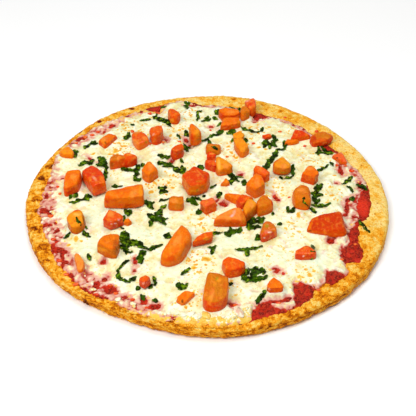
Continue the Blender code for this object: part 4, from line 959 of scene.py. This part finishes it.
class Paint:
    """The nodes of one material, around its shader."""

    def __init__(self, name):
        self.material = bpy.data.materials.new(name)
        self.material.use_nodes = True
        self.tree = self.material.node_tree
        self.shader = self.tree.nodes["Principled BSDF"]
        self.place = self.tree.nodes.new("ShaderNodeTexCoord").outputs["Object"]

    def plug(self, value, socket):
        if isinstance(value, bpy.types.NodeSocket):
            self.tree.links.new(value, socket)
        elif isinstance(value, str):
            socket.default_value = (*linear(value), 1)
        else:
            socket.default_value = value

    def finish(self, **values):
        for name, value in values.items():
            self.plug(value, self.shader.inputs[name.replace("_", " ")])
        return self.material

    def attribute(self, name, output="Fac"):
        node = self.tree.nodes.new("ShaderNodeAttribute")
        node.attribute_name = name
        return node.outputs[output]

    def noise(self, size, detail=2.0, stretch=(1, 1, 1), shift=0.0):
        """Random values round 0.5 whose bumps are about as wide as the size in millimetres."""
        mapping = self.tree.nodes.new("ShaderNodeMapping")
        self.plug(self.place, mapping.inputs["Vector"])
        mapping.inputs["Location"].default_value = (shift, shift, shift)
        mapping.inputs["Scale"].default_value = stretch
        node = self.tree.nodes.new("ShaderNodeTexNoise")
        self.plug(mapping.outputs[0], node.inputs["Vector"])
        node.inputs["Scale"].default_value = 1 / (size * MM)
        node.inputs["Detail"].default_value = detail
        return node.outputs["Fac"]

    def cells(self, size):
        """Distances from scattered middles that are about the size in millimetres apart."""
        node = self.tree.nodes.new("ShaderNodeTexVoronoi")
        self.plug(self.place, node.inputs["Vector"])
        node.inputs["Scale"].default_value = 1 / (size * MM)
        return node.outputs["Distance"]

    def band(self, value, low, high, start=0.0, end=1.0):
        """Eases from start to end as the value goes from low to high."""
        node = self.tree.nodes.new("ShaderNodeMapRange")
        node.interpolation_type = "SMOOTHSTEP"
        for socket, given in zip(node.inputs, (value, low, high, start, end)):
            self.plug(given, socket)
        return node.outputs[0]

    def mix(self, share, first, second):
        node = self.tree.nodes.new("ShaderNodeMix")
        node.data_type = "RGBA"
        for k, given in ((0, share), (6, first), (7, second)):
            self.plug(given, node.inputs[k])
        return node.outputs[2]

    def tint(self, colour, tone, value, low, high, full=1.0):
        """The colour going over to the tone as the value goes from low to high."""
        return self.mix(self.band(value, low, high, 0, full), colour, tone)

    def maths(self, operation, first, second, third=0.0):
        node = self.tree.nodes.new("ShaderNodeMath")
        node.operation = operation
        for socket, given in zip(node.inputs, (first, second, third)):
            self.plug(given, socket)
        return node.outputs[0]

    def times(self, first, second):
        return self.maths("MULTIPLY", first, second)

    def stir(self, base, value, low, high, share):
        """The base made uneven by half the share either way, as the value goes from low to high."""
        return self.maths("MULTIPLY_ADD", self.band(value, low, high, -0.5, 0.5), share, base)

    def bump(self, height, depth):
        """A surface relief of the given depth in millimetres."""
        node = self.tree.nodes.new("ShaderNodeBump")
        node.inputs["Distance"].default_value = depth * MM
        self.plug(height, node.inputs["Height"])
        return node.outputs["Normal"]


def crust_paint():
    paint = Paint("baked_crust")
    bake, rough = paint.attribute("bake"), paint.attribute("rough")
    fine, wide = paint.noise(0.8, 3, (1, 1, 1.8)), paint.noise(8, 3, (1, 1, 2), 0.3)
    mid = paint.noise(3.2, 3, (1, 1, 3.2), 0.1)
    swing = paint.band(rough, 0.2, 1, 0.35, 0.62)
    shade = paint.stir(bake, mid, 0.34, 0.66, swing)
    shade = paint.stir(shade, wide, 0.3, 0.7, 0.5)
    shade = paint.stir(shade, fine, 0.36, 0.64, 0.4)
    # Darker where the relief is sunk, as in the crack round the side, and paler where it stands out: painted
    # shade and painted light
    shade = paint.maths("MULTIPLY_ADD", paint.attribute("relief"), -0.2, shade)
    colour = "crust_cream"
    for tone, low, high in CRUST_TONES:
        colour = paint.tint(colour, tone, shade, low, high)
    pits = paint.times(paint.band(paint.cells(1.9), 0.2, 0.36, 0.7, 0), paint.band(rough, 0.3, 1, 1, 0.3))
    colour = paint.mix(pits, colour, "crust_orange")
    specks = paint.times(paint.band(paint.cells(3.6), 0.16, 0.24, 0.8, 0), paint.band(mid, 0.46, 0.54))
    colour = paint.mix(specks, colour, "crust_brown")
    colour = paint.tint(colour, "sauce_dark", paint.attribute("stain"), 0.2, 0.8)
    height = paint.maths("MULTIPLY_ADD", mid, 1.4, fine)
    return paint.finish(
        Base_Color=colour,
        Roughness=paint.band(fine, 0.3, 0.7, 0.5, 0.72),
        Specular_IOR_Level=0.1,
        Specular_Tint=(1.0, 0.7, 0.4, 1.0),
        Normal=paint.bump(height, 0.6),
    )


def sauce_paint():
    paint = Paint("tomato_sauce_cooked")
    fine, mid, wide = paint.noise(0.8, 3), paint.noise(1.9, 3, shift=0.2), paint.noise(6, 2, shift=0.4)
    colour = paint.tint("sauce_dark", "sauce_red", mid, 0.4, 0.58)
    colour = paint.tint(colour, "sauce_bright", wide, 0.5, 0.68, 0.6)
    colour = paint.tint(colour, "sauce_orange", fine, 0.56, 0.66, 0.7)
    pulp = paint.times(paint.attribute("pulp"), paint.band(mid, 0.3, 0.6, 0.7, 1))
    colour = paint.mix(pulp, colour, "sauce_bright")
    colour = paint.mix(paint.times(pulp, paint.band(fine, 0.55, 0.7, 0, 0.5)), colour, "red_orange")
    return paint.finish(
        Base_Color=colour,
        Roughness=paint.band(mid, 0.3, 0.7, 0.18, 0.45),
        Specular_IOR_Level=0.3,
        Specular_Tint=(1.0, 0.4, 0.3, 1.0),
        Normal=paint.bump(paint.maths("MULTIPLY_ADD", mid, 1.5, fine), 0.5),
    )


def cheese_paint():
    paint = Paint("melted_cheese")
    fine, mid, wide = paint.noise(0.9, 3), paint.noise(2.4, 3, shift=0.2), paint.noise(9, 3, shift=0.5)
    names = ("body", "toast", "run", "high", "dotted")
    body, toast, run, high, dotted = (paint.attribute(name) for name in names)
    # The relief, made uneven, as painted shade in the hollows and painted light on the ridges
    rise = paint.stir(high, wide, 0.35, 0.65, 0.5)
    rise = paint.stir(rise, mid, 0.32, 0.68, 0.35)
    colour = paint.tint("cheese_shade", "cream", rise, -0.12, 0.36)
    colour = paint.tint(colour, "cheese_white", rise, 0.45, 0.9)
    colour = paint.mix(paint.times(run, 0.7), colour, "cheese_cool")
    blush = paint.band(paint.noise(4.5, 3, shift=0.9), 0.54, 0.72, 0, 0.45)
    colour = paint.mix(paint.times(blush, paint.band(run, 0, 1, 1, 0)), colour, "cheese_pink")
    cover = paint.stir(body, mid, 0.3, 0.7, 0.4)
    colour = paint.tint("cheese_pink", colour, cover, 0.55, 1.25)
    colour = paint.tint("cheese_rose", colour, cover, -0.15, 0.65)
    small = paint.times(paint.band(paint.cells(2.5), 0.3, 0.4, 1, 0), paint.band(mid, 0.42, 0.5))
    large = paint.times(paint.band(paint.cells(5.5), 0.2, 0.29, 1, 0), paint.band(wide, 0.42, 0.52))
    spots = paint.times(paint.maths("ADD", small, large), dotted)
    spots = paint.maths("MAXIMUM", spots, toast)
    spots = paint.stir(spots, fine, 0.3, 0.7, 0.3)
    colour = paint.tint(colour, "toast_yellow", spots, 0.24, 0.46, 0.95)
    colour = paint.tint(colour, "toast_orange", spots, 0.55, 1.0, 0.95)
    return paint.finish(
        Base_Color=colour,
        Roughness=paint.band(mid, 0.3, 0.7, 0.26, 0.46),
        Specular_IOR_Level=0.3,
        Normal=paint.bump(paint.maths("MULTIPLY_ADD", mid, 1.6, fine), 0.28),
    )


def tomato_paint(name, coat):
    paint = Paint(name)
    tone = paint.attribute("tone", "Color")
    fine, mid = paint.noise(1.1, 3), paint.noise(4, 2, shift=0.3)
    streaks = paint.noise(2.2, 2, stretch=(1, 0.35, 1), shift=0.6)
    colour = paint.tint(tone, "red", mid, 0.5, 0.7, 0.35)
    colour = paint.tint(colour, "yellow_orange", streaks, 0.5, 0.7, 0.35)
    colour = paint.tint(colour, "pale_orange", paint.noise(3, 3, shift=0.8), 0.54, 0.68, 0.4)
    colour = paint.tint(colour, "brown_orange", fine, 0.58, 0.72, 0.35)
    # Deep red low on the sides: partly the skin, partly painted shade where the chunk meets the cheese
    colour = paint.mix(paint.attribute("edge"), colour, "deep_red")
    return paint.finish(
        Base_Color=colour,
        Roughness=paint.band(mid, 0.3, 0.7, 0.24, 0.42),
        Specular_IOR_Level=0.25,
        Specular_Tint=(1.0, 0.45, 0.15, 1.0),
        Coat_Weight=coat,
        Coat_Roughness=0.08,
        Subsurface_Weight=0.12,
        Subsurface_Radius=(0.004, 0.0012, 0.0004),
        Subsurface_Scale=1.0,
        Normal=paint.bump(paint.maths("MULTIPLY_ADD", streaks, 1.5, fine), 0.5),
    )


def herb_paint():
    paint = Paint("basil_leaf")
    fine, mid = paint.noise(2.6, 3), paint.noise(3.4, 3, shift=0.3)
    colour = paint.tint("herb_dark", "herb", mid, 0.42, 0.62)
    # Bright green flecks: partly the leaf's own green, partly painted highlight
    colour = paint.tint(colour, "herb_green_and_highlight", fine, 0.52, 0.68, 0.7)
    return paint.finish(
        Base_Color=colour,
        Roughness=paint.band(fine, 0.3, 0.7, 0.3, 0.5),
        Specular_IOR_Level=0.12,
        Specular_Tint=(0.8, 1.0, 0.3, 1.0),
        Normal=paint.bump(fine, 0.3),
    )


def floor_paint():
    paint = Paint("pale_floor")
    colour = paint.tint("floor", "cheese_white", paint.noise(400, 2), 0.3, 0.7, 0.1)
    return paint.finish(Base_Color=colour, Roughness=0.8)


def add_piece(name, mesh, finish, nodes=()):
    """A finished piece of the pizza, which rides on its body and may stand for solids."""
    mesh.materials.clear()
    mesh.materials.append(finish)
    mesh.shade_smooth()
    piece = bpy.data.objects.new(name, mesh)
    bpy.context.scene.collection.objects.link(piece)
    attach(piece, "root")
    if nodes:
        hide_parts(*nodes)


def mesh_from(name, places, faces):
    """A mesh in metres from places in millimetres."""
    mesh = bpy.data.meshes.new(name)
    mesh.from_pydata((np.asarray(places) * MM).tolist(), [], [list(face) for face in faces])
    return mesh


def add_values(mesh, name, values):
    """A number for each vertex, which a material reads by name. Later vertices get zero."""
    padded = np.zeros(len(mesh.vertices), np.float32)
    padded[: len(values)] = values
    mesh.attributes.new(name, "FLOAT", "POINT").data.foreach_set("value", padded)


def add_colours(mesh, name, colours):
    full = np.ones((len(mesh.vertices), 4), np.float32)
    full[:, :3] = colours
    mesh.color_attributes.new(name, "FLOAT_COLOR", "POINT").data.foreach_set("color", full.ravel())


def grid_places(step):
    """A square grid of places over the pizza, and its number of lines."""
    count = 2 * int(GRID_REACH / step) + 1
    lines = (np.arange(count) - count // 2) * step
    x, y = np.meshgrid(lines, lines)
    return x.ravel(), y.ravel(), count


def whole_cells(kept, count):
    """The grid's cells whose four corners are kept, with cells that touch by a corner joined."""
    kept = kept.reshape(count, count)
    cell = kept[:-1, :-1] & kept[1:, :-1] & kept[:-1, 1:] & kept[1:, 1:]
    for _ in range(3):
        a, b, c, d = cell[:-1, :-1], cell[:-1, 1:], cell[1:, :-1], cell[1:, 1:]
        falling = a & d & ~b & ~c
        rising = b & c & ~a & ~d
        cell[:-1, 1:] |= falling
        cell[:-1, :-1] |= rising
    return np.argwhere(cell)


def sheet_mesh(name, x, y, height, count, kept, base):
    """A closed layer: a height field on top, straight sides and a flat base.

    Returns the mesh and the grid numbers of its upper vertices."""
    rows, columns = whole_cells(kept, count).T
    first = rows * count + columns
    quads = np.column_stack((first, first + 1, first + count + 1, first + count))
    used, flat = np.unique(quads, return_inverse=True)
    quads = flat.reshape(-1, 4)
    edges = np.concatenate([quads[:, (k, (k + 1) % 4)] for k in range(4)])
    keys = {(a, b) for a, b in edges.tolist()}
    border = [(a, b) for a, b in keys if (b, a) not in keys]
    rim = sorted({a for a, _ in border})
    below = {vertex: len(used) + k for k, vertex in enumerate(rim)}
    top = np.column_stack((x[used], y[used], height[used]))
    bottom = top[rim].copy()
    bottom[:, 2] = base
    walls = [(b, a, below[a], below[b]) for a, b in border]
    mesh = mesh_from(name, np.concatenate((top, bottom)), quads.tolist() + walls)
    shape = bmesh.new()
    shape.from_mesh(mesh)
    shape.edges.ensure_lookup_table()
    open_edges = [edge for edge in shape.edges if edge.is_boundary]
    bmesh.ops.triangle_fill(shape, edges=open_edges, use_beauty=False, use_dissolve=False, normal=(0, 0, -1))
    bmesh.ops.recalc_face_normals(shape, faces=shape.faces)
    if shape.calc_volume(signed=True) < 0:
        bmesh.ops.reverse_faces(shape, faces=shape.faces)
    shape.to_mesh(mesh)
    shape.free()
    return mesh, used


def crust_rings():
    """The rings of vertices from the flat base, round the side and over the rim, and their angles."""
    angle = np.arange(CRUST_SEGMENTS) * 360 / CRUST_SEGMENTS
    turn = np.radians(angle)
    reach, inner = crust_reach(angle), sauce_reach(angle)
    rings = [(reach - inset, np.full(CRUST_SEGMENTS, level)) for inset, level in SIDE_PROFILE]
    side_inset, side_top = SIDE_PROFILE[-1]
    outer_edge, inner_edge = reach - side_inset, inner + SLOPE_OUT
    for share in np.linspace(0, 1, RIM_RINGS)[1:]:
        crown = side_top + (RIM_TOP - side_top) * ease(share * 3)
        rings.append((outer_edge + (inner_edge - outer_edge) * share, crown + 0 * angle))
    for step in np.linspace(SLOPE_OUT, SLOPE_IN, SLOPE_RINGS)[1:]:
        radius = inner + step
        rings.append((radius, crust_top(radius * np.cos(turn), radius * np.sin(turn))))
    return rings, np.tile(angle, len(rings))


def ring_faces(rings):
    """The faces between rings of vertices, and fans from two more vertices that close both ends."""
    count = CRUST_SEGMENTS
    middle = rings * count
    faces = []
    for first in range(0, middle - count, count):
        for j in range(count):
            after = (j + 1) % count
            faces.append((first + j, first + after, first + count + after, first + count + j))
    for j in range(count):
        after = (j + 1) % count
        faces.append((after, j, middle))
        faces.append((middle - count + j, middle - count + after, middle + 1))
    return faces


def make_crust():
    rings, angle = crust_rings()
    radius, level = (np.concatenate(parts) for parts in zip(*rings))
    turn = np.radians(angle)
    heading = np.column_stack((np.cos(turn), np.sin(turn)))
    places = np.column_stack((radius[:, None] * heading, level))
    x, y = places[:, :2].T.copy()
    ring_number = np.repeat(np.arange(len(rings)), CRUST_SEGMENTS)
    steep = ease(1 - (ring_number - 5) / 6.0)
    free = ease(level / 0.5) * ease((radius - sauce_reach(angle) + 8) / 8)
    rough = around(ROUGH_ROUND, angle)
    relief = 0.6 * wobble(places, 9, 20) + (0.15 + 0.36 * rough) * wobble(places, 3.4, 21)
    relief += (0.16 + 0.4 * rough) * wobble(places, 1.7, 22)
    groove = (level - GROOVE_LEVEL - 0.7 * wobble(places, 18, 23)) / GROOVE_WIDTH
    relief -= (0.5 + 0.9 * rough) * steep * np.exp(-(groove**2)) * ease(0.6 + wobble(places, 22, 24))
    bake = around(BAKE_ROUND, angle) + 0.14 * steep
    for *row, height, browning in CRUST_BLISTERS:
        spot = ease(1.7 * ellipse(x, y, row) + 0.3)
        relief += height * spot
        bake = bake + browning * BLISTER_BROWNING * spot
    stain = np.zeros(len(places))
    for row in EDGE_DRIPS:
        stain = np.maximum(stain, ease(1.5 * ellipse(x, y, row)))
    stain = stain * ease((level - DRIP_LEVEL + 2 * wobble(places, 4, 25)) / 1.5)
    push = relief * free
    places[:, :2] += heading * (push * steep * 1.2 - 0.3 * steep * free)[:, None]
    places[:, 2] += push * (1 - steep)
    places = np.concatenate((places, [(0, 0, 0), (0, 0, CRUST_FLOOR)]))
    mesh = mesh_from("crust_baked", places, ring_faces(len(rings)))
    for name, values in (("bake", bake), ("stain", stain), ("rough", rough), ("relief", relief)):
        add_values(mesh, name, values)
    add_piece("crust_baked", mesh, crust_paint(), ["crust"])


def make_sauce():
    x, y, count = grid_places(SAUCE_STEP)
    height, inside, grain, own = sauce_layer(x, y)
    bright = np.maximum(ease(1.4 * ellipse(x, y, BRIGHT_SAUCE)), 0.25 * (own > 0.8))
    kept = inside > -LAYER_MARGIN
    mesh, used = sheet_mesh("sauce_layer", x, y, height + grain, count, kept, SAUCE_BASE)
    add_values(mesh, "pulp", bright[used])
    add_piece("sauce_layer", mesh, sauce_paint(), ["tomato_sauce"])


def make_cheese():
    """The melted cheese and its loose lumps. Returns a function for the food's upper face."""
    x, y, count = grid_places(CHEESE_STEP)
    height, inside, values = cheese_layer(x, y)
    height = np.where(inside > 0, hug_chunks(x, y, height), height)
    kept = inside > -LAYER_MARGIN
    mesh, used = sheet_mesh("cheese_melt", x, y, height, count, kept, CHEESE_BASE)
    for name in values:
        add_values(mesh, name, values[name][used])
    finish = cheese_paint()
    add_piece("cheese_melt", mesh, finish, ["cheese"])
    food_height = food_surface(height)
    add_piece("cheese_rim_lumps", make_rim_lumps(food_height), finish, ["cheese"])
    return food_height


def ball(fineness):
    """Directions all round, and the triangles between them."""
    shape = bmesh.new()
    bmesh.ops.create_icosphere(shape, subdivisions=fineness, radius=1.0)
    directions = np.array([vertex.co for vertex in shape.verts])
    faces = [[vertex.index for vertex in face.verts] for face in shape.faces]
    shape.free()
    return directions, faces


def chunk_planes(outline, foot, top, picker):
    """The planes that bound a chunk: its top, foot and sides, and uneven facets along its upper edges."""
    middle = outline.mean(axis=0)
    planes = [((picker.uniform(-0.14, 0.14), picker.uniform(-0.12, 0.12), 1), (*middle, top))]
    planes.append(((0, 0, -1), (*middle, foot)))
    for start, end in zip(outline, np.roll(outline, -1, axis=0)):
        side = end - start
        length = math.hypot(*side)
        if length > 0.9:
            out = np.array((side[1], -side[0])) / length
            planes.append(((*out, picker.uniform(-0.03, 0.09)), (*start, foot + 1.5)))
            if picker.random() < 0.7:
                spot = (start + end) / 2 - out * picker.uniform(0.1, 1.3)
                planes.append(((*out, picker.uniform(0.5, 1.5)), (*spot, top)))
    normals = np.array([plane[0] for plane in planes])
    normals /= np.linalg.norm(normals, axis=1)[:, None]
    return normals, np.einsum("ij,ij->i", normals, np.array([plane[1] for plane in planes]))


def faceted(outline, foot, top, directions, picker, crisp):
    """The surface of a body between planes, with its edges rounded, in each of the directions."""
    normals, limits = chunk_planes(outline, foot, top, picker)
    middle = np.array((*outline.mean(axis=0), (foot + top) / 2))
    spread = outline - middle[:2]
    axes = np.linalg.eigh(spread.T @ spread)[1]
    halves = np.ptp(spread @ axes, axis=0) / 2
    flat = (directions[:, :2] * halves) @ axes.T
    rays = np.column_stack((flat, directions[:, 2] * (top - foot) / 2))
    pull = np.maximum(rays @ normals.T / (limits - normals @ middle), 0)
    return middle + rays * (1.03 * (pull**crisp).sum(axis=1) ** (-1 / crisp))[:, None]


def chunk_mesh(name, number, directions, faces):
    """The mesh of a chunk with its fine relief, its places, and its normals before that relief."""
    outline, foot, top = BODIES[name]
    crisp = CRISP
    if name in SOFT_CHUNKS:
        crisp = SOFT_CRISP
        outline = outline.mean(axis=0) + (outline - outline.mean(axis=0)) * SOFT_SWELL
    picker = random.Random(SEED + number)
    places = faceted(outline, foot - FOOT_SUNK, top, directions, picker, crisp)
    squeeze = min(1, (CHUNK_CEILING - foot) / (places[:, 2].max() - foot))
    places[:, 2] = foot + (places[:, 2] - foot) * squeeze
    mesh = mesh_from("tomato_chunk_" + name, places, faces)
    normals = np.array([normal.vector for normal in mesh.vertex_normals])
    if normals[:, 2] @ (places[:, 2] - places[:, 2].mean()) < 0:
        mesh.flip_normals()
        normals = -normals
    relief = 0.4 * wobble(places, 5, 30 + number) + 0.18 * wobble(places, 2, 31 + number)
    places += normals * (relief * ease((places[:, 2] - foot) / 1.5))[:, None]
    mesh.vertices.foreach_set("co", (places * MM).astype(np.float32).ravel())
    return mesh, places, normals


def patched_in_tone_and_light(tone, places, normals):
    """A chunk's tones with its patches, painted highlight and painted shade among them, on faces turned to
    the camera.
    """
    seen, ahead = in_view(places), np.array(camera_place()[1])
    for *row, colour in TONE_AND_LIGHT_PATCHES:
        if abs(row[0] - seen[:, 0].mean()) + abs(row[1] - seen[:, 1].mean()) < BLOTCH_REACH:
            spot = ease(1.6 * ellipse(seen[:, 0], seen[:, 1], row) + 0.1)
            spot = (0.85 * spot * (normals @ ahead < 0.1))[:, None]
            tone = blended(tone, linear(colour), spot)
    return tone


def make_chunks(food_height):
    dry, wet = tomato_paint("tomato_flesh", 0.0), tomato_paint("tomato_wet", 0.3)
    directions, faces = ball(CHUNK_FINENESS)
    for number, (name, (_, upper, lower, *_)) in enumerate(CHUNKS.items()):
        _, foot, top = BODIES[name]
        mesh, places, normals = chunk_mesh(name, number, directions, faces)
        level = (places[:, 2] - foot) / (top - foot)
        # Faces turned up take the upper tone and the others the side tone, darker partly by the skin and
        # partly as painted shade
        facing = ease((normals[:, 2] - 0.1) / 0.6)
        share = np.clip(facing * 0.85 + 0.2 * wobble(places, 6, 33 + number), 0, 1)[:, None]
        tone = blended(linear(lower), linear(upper), share)
        add_colours(mesh, "tone", patched_in_tone_and_light(tone, places, normals))
        # Redder low on the sides near the foot: partly the skin, partly painted shade where the chunk meets
        # the cheese
        add_values(mesh, "edge", 0.5 * ease(1 - level * 2.2) * (1 - facing))
        finish = wet if name in WET_CHUNKS else dry
        add_piece("tomato_chunk_" + name, mesh, finish, ["tomato_" + name])
    add_piece("tomato_crumbs", make_crumbs(food_height), wet, ["cheese"])


def off_chunks(spots, clear):
    """Whether each place is at least this far from every chunk."""
    free = np.ones(len(spots), bool)
    for outline, _ in FOOTPRINTS:
        if np.abs(outline.mean(axis=0) - spots.mean(axis=0)).max() < CHUNK_REACH:
            free &= outline_distance(spots[:, 0], spots[:, 1], outline) > clear
    return free


def shred_runs(row):
    """Stations along a bent shred, cut where a chunk is in its way."""
    x, y, length, heading, bend, _ = row
    steps = max(3, round(length / SHRED_STEP))
    spots = [np.zeros(2)]
    for k in range(steps):
        angle = math.radians(heading + bend * ((k + 0.5) / steps - 0.5))
        spots.append(spots[-1] + np.array((math.cos(angle), math.sin(angle))) * length / steps)
    shift = in_layout(x, y) - sum(spots) / len(spots)
    spots = np.array(spots) + shift
    runs = [[]]
    for spot, free in zip(spots, off_chunks(spots, SHRED_GAP)):
        if free:
            runs[-1].append(spot)
        elif runs[-1]:
            runs.append([])
    return [np.array(run) for run in runs if len(run) > 3]


def wall(a, b, size, turned):
    """The face between an edge of the upper side and the same edge of the lower side."""
    return (b, a, a + size, b + size) if turned else (a, b, b + size, a + size)


def strip_faces(count):
    """The faces of a strip with this many stations: both sides, the long edges and the ends."""
    across = SHRED_ACROSS
    size = count * across
    faces = []
    for k in range(count - 1):
        for j in range(across - 1):
            a = k * across + j
            b, c, d = a + 1, a + across + 1, a + across
            faces.append((a, d, c, b))
            faces.append((a + size, b + size, c + size, d + size))
        for j, turned in ((0, True), (across - 1, False)):
            faces.append(wall(k * across + j, (k + 1) * across + j, size, turned))
    for k, turned in ((0, False), (count - 1, True)):
        for j in range(across - 1):
            faces.append(wall(k * across + j, k * across + j + 1, size, turned))
    return faces


def strip_mesh(run, surface, width, picker, curl=0.7):
    """A crinkled strip with ragged edges along a run of places, as places and faces."""
    count, across = len(run), SHRED_ACROSS
    seed = picker.uniform(0, 90)
    share = np.linspace(0, 1, count)
    length = np.linalg.norm(np.diff(run, axis=0), axis=1).sum()
    track = np.column_stack((share * length, np.full(count, seed), np.zeros(count)))
    along = np.gradient(run, axis=0)
    along /= np.linalg.norm(along, axis=1)[:, None]
    aside = np.column_stack((-along[:, 1], along[:, 0]))
    run = run + aside * (0.22 * width * wobble(track, 3.2, 45))[:, None]
    taper = 0.2 + 0.8 * np.sin(np.pi * np.clip(share, 0.05, 0.95)) ** 0.7
    halves = []
    for layer in (40, 41):
        ragged = 1.05 + 0.7 * wobble(track, 3.4, layer) + 0.4 * wobble(track, 1.5, layer + 6)
        halves.append(width / 2 * taper * np.clip(ragged, 0.25, 1.9))
    tops = []
    for k in range(across):
        t = 2 * k / (across - 1) - 1
        spread = np.where(t < 0, *halves) * t
        spot = run + aside * spread[:, None]
        places = np.column_stack((spot, np.full(count, seed)))
        lift = 0.35 + 1.1 * np.abs(wobble(places, 2.6, 42)) + 0.35 * wobble(places, 1.3, 43)
        lift += curl * t * (wobble(track, 3.5, 44) + 0.3 * t)
        tops.append(np.column_stack((spot, surface(spot) + np.maximum(lift, 0.1))))
    top = np.stack(tops, axis=1).reshape(-1, 3)
    bottom = top - (0, 0, SHRED_THICK)
    return np.concatenate((top, bottom)), strip_faces(count)


def join_parts(parts):
    """Several sets of places and faces as one."""
    places, faces, start = [], [], 0
    for part_places, part_faces in parts:
        places.append(part_places)
        faces += [tuple(k + start for k in face) for face in part_faces]
        start += len(part_places)
    return np.concatenate(places), faces


def food_surface(cheese):
    """A function that gives the upper face of the food at places, from the cheese's own grid."""
    x, y, count = grid_places(CHEESE_STEP)
    sauce, _, grain, _ = sauce_layer(x, y)
    highest = np.maximum(np.maximum(crust_top(x, y), sauce + grain), cheese).reshape(count, count)

    def height_at(spots):
        cell = spots / CHEESE_STEP + count // 2
        low = np.clip(np.floor(cell).astype(int), 0, count - 2)
        right, up = (cell - low).T
        column, row = low.T
        near = highest[row, column] * (1 - right) + highest[row, column + 1] * right
        far = highest[row + 1, column] * (1 - right) + highest[row + 1, column + 1] * right
        return near * (1 - up) + far * up

    return height_at


def make_rim_lumps(food_height):
    """Loose lumps of cheese that lie on the rim and where the cheese thins out."""
    picker = random.Random(SEED + 2)
    directions, faces = ball(LUMP_FINENESS)
    parts = []
    toast = []
    for start, end, low, high, count, half in RIM_LUMPS:
        for _ in range(count):
            angle = math.radians(picker.uniform(start, end))
            radius = min(picker.uniform(low, high), crust_reach(math.degrees(angle)) - 3)
            spot = np.array((radius * math.cos(angle), radius * math.sin(angle)))
            size = half * picker.uniform(0.5, 1.5)
            turn = picker.uniform(0, math.pi)
            places = directions * (size * picker.uniform(1.0, 1.5), size * picker.uniform(0.7, 1), size * 0.5)
            grain = 1 + 0.3 * wobble(places + 40 * len(parts), 1.4, 50)
            places = places * grain[:, None]
            x = places[:, 0] * math.cos(turn) - places[:, 1] * math.sin(turn)
            y = places[:, 0] * math.sin(turn) + places[:, 1] * math.cos(turn)
            level = food_height(spot[None])[0] + 0.1 * size
            parts.append((np.column_stack((x + spot[0], y + spot[1], places[:, 2] + level)), faces))
            toast.append(np.full(len(directions), picker.choice((0, 0.1, 0.2, 0.35, 0.5))))
    mesh = mesh_from("cheese_rim_lumps", *join_parts(parts))
    toast = np.concatenate(toast)
    body = 0.9 + 0.3 * (toast > 0)
    for name, values in (("body", body), ("toast", toast), ("high", np.full(len(toast), 0.6))):
        add_values(mesh, name, values)
    return mesh


def make_crumbs(food_height):
    """Small crumbs of tomato, as one piece."""
    picker = random.Random(SEED + 3)
    directions, faces = ball(LUMP_FINENESS)
    parts = []
    for x, y, half in CRUMBS:
        spot = in_layout(x, y)
        places = directions * (half * picker.uniform(1, 1.4), half * picker.uniform(0.7, 1), half * 0.6)
        places = places * (1 + 0.35 * wobble(places + 40 * len(parts), 1.8, 51))[:, None]
        parts.append((places + (*spot, food_height(spot[None])[0] + 0.2 * half), faces))
    mesh = mesh_from("tomato_crumbs", *join_parts(parts))
    places = np.array([vertex.co for vertex in mesh.vertices]) / MM
    share = ease(0.5 + wobble(places, 12, 52))[:, None]
    add_colours(mesh, "tone", blended(linear("red"), linear("pink_red"), share))
    return mesh


def tree_of(objects):
    """A search tree over finished pieces, in metres."""
    places, faces, start = [], [], 0
    for piece in objects:
        places += [vertex.co.copy() for vertex in piece.data.vertices]
        faces += [tuple(k + start for k in polygon.vertices) for polygon in piece.data.polygons]
        start += len(piece.data.vertices)
    return BVHTree.FromPolygons(places, faces)


def seen_at(tree, x, y):
    """The surface point that shows at a layout place from the camera, in millimetres."""
    eye = camera_place()[0]
    target = Vector((*in_layout(x, y), LAYOUT_LEVEL)) * MM
    hit = tree.ray_cast(eye, (target - eye).normalized())[0]
    return np.array(hit) / MM


def along_route(route):
    """A function that gives, for places, the level of the route's nearest point."""

    def height_at(spots):
        near = np.argmin(np.linalg.norm(spots[:, None, :] - route[None, :, :2], axis=2), axis=1)
        return route[near, 2]

    return height_at


def make_herbs(food_height, tree):
    picker = random.Random(SEED + 1)
    parts = []
    for row in SHREDS:
        for run in shred_runs(row):
            parts.append(strip_mesh(run, food_height, row[-1] * SHRED_GROWTH, picker))
    for stops, width in DRAPED_SHREDS:
        hits = np.array([seen_at(tree, *stop) for stop in stops])
        share = np.linspace(0, len(hits) - 1, 3 * len(hits) + 2)
        route = np.column_stack([np.interp(share, np.arange(len(hits)), hits[:, k]) for k in range(3)])
        parts.append(strip_mesh(route[:, :2], along_route(route), width, picker, curl=0.1))
    mesh = mesh_from("basil_shreds", *join_parts(parts))
    add_piece("basil_shreds", mesh, herb_paint(), ["cheese"])


def make_floor():
    bpy.ops.mesh.primitive_plane_add(size=FLOOR_SIZE)
    floor = bpy.context.object
    floor.name = "floor"
    floor.data.materials.append(floor_paint())


def add_light(name, place, size, power):
    """A round lamp that shines at the middle of the pizza."""
    data = bpy.data.lights.new(name, "AREA")
    data.shape = "DISK"
    data.size = size
    data.energy = power
    light = bpy.data.objects.new(name, data)
    light.location = place
    light.rotation_euler = (-Vector(place)).to_track_quat("-Z", "Y").to_euler()
    bpy.context.scene.collection.objects.link(light)


def make_studio():
    world = bpy.data.worlds.new("studio")
    world.use_nodes = True
    background = world.node_tree.nodes["Background"]
    background.inputs["Color"].default_value = (1, 1, 1, 1)
    background.inputs["Strength"].default_value = WORLD_STRENGTH
    bpy.context.scene.world = world
    for lamp in LAMPS:
        add_light(*lamp)
    bpy.context.scene.view_settings.view_transform = "Standard"
    bpy.context.scene.view_settings.look = "None"


def make_camera():
    data = bpy.data.cameras.new("camera")
    data.lens = CAMERA_LENS
    data.sensor_width = SENSOR_WIDTH
    camera = bpy.data.objects.new("camera", data)
    camera.location, forward = camera_place()
    camera.rotation_euler = forward.to_track_quat("-Z", "Y").to_euler()
    bpy.context.scene.collection.objects.link(camera)
    bpy.context.scene.camera = camera


make_crust()
make_sauce()
food_height = make_cheese()
make_chunks(food_height)
upper = [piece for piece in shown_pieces() if "chunk" in piece.name or piece.name == "cheese_melt"]
make_herbs(food_height, tree_of(upper))
make_floor()
make_studio()
make_camera()
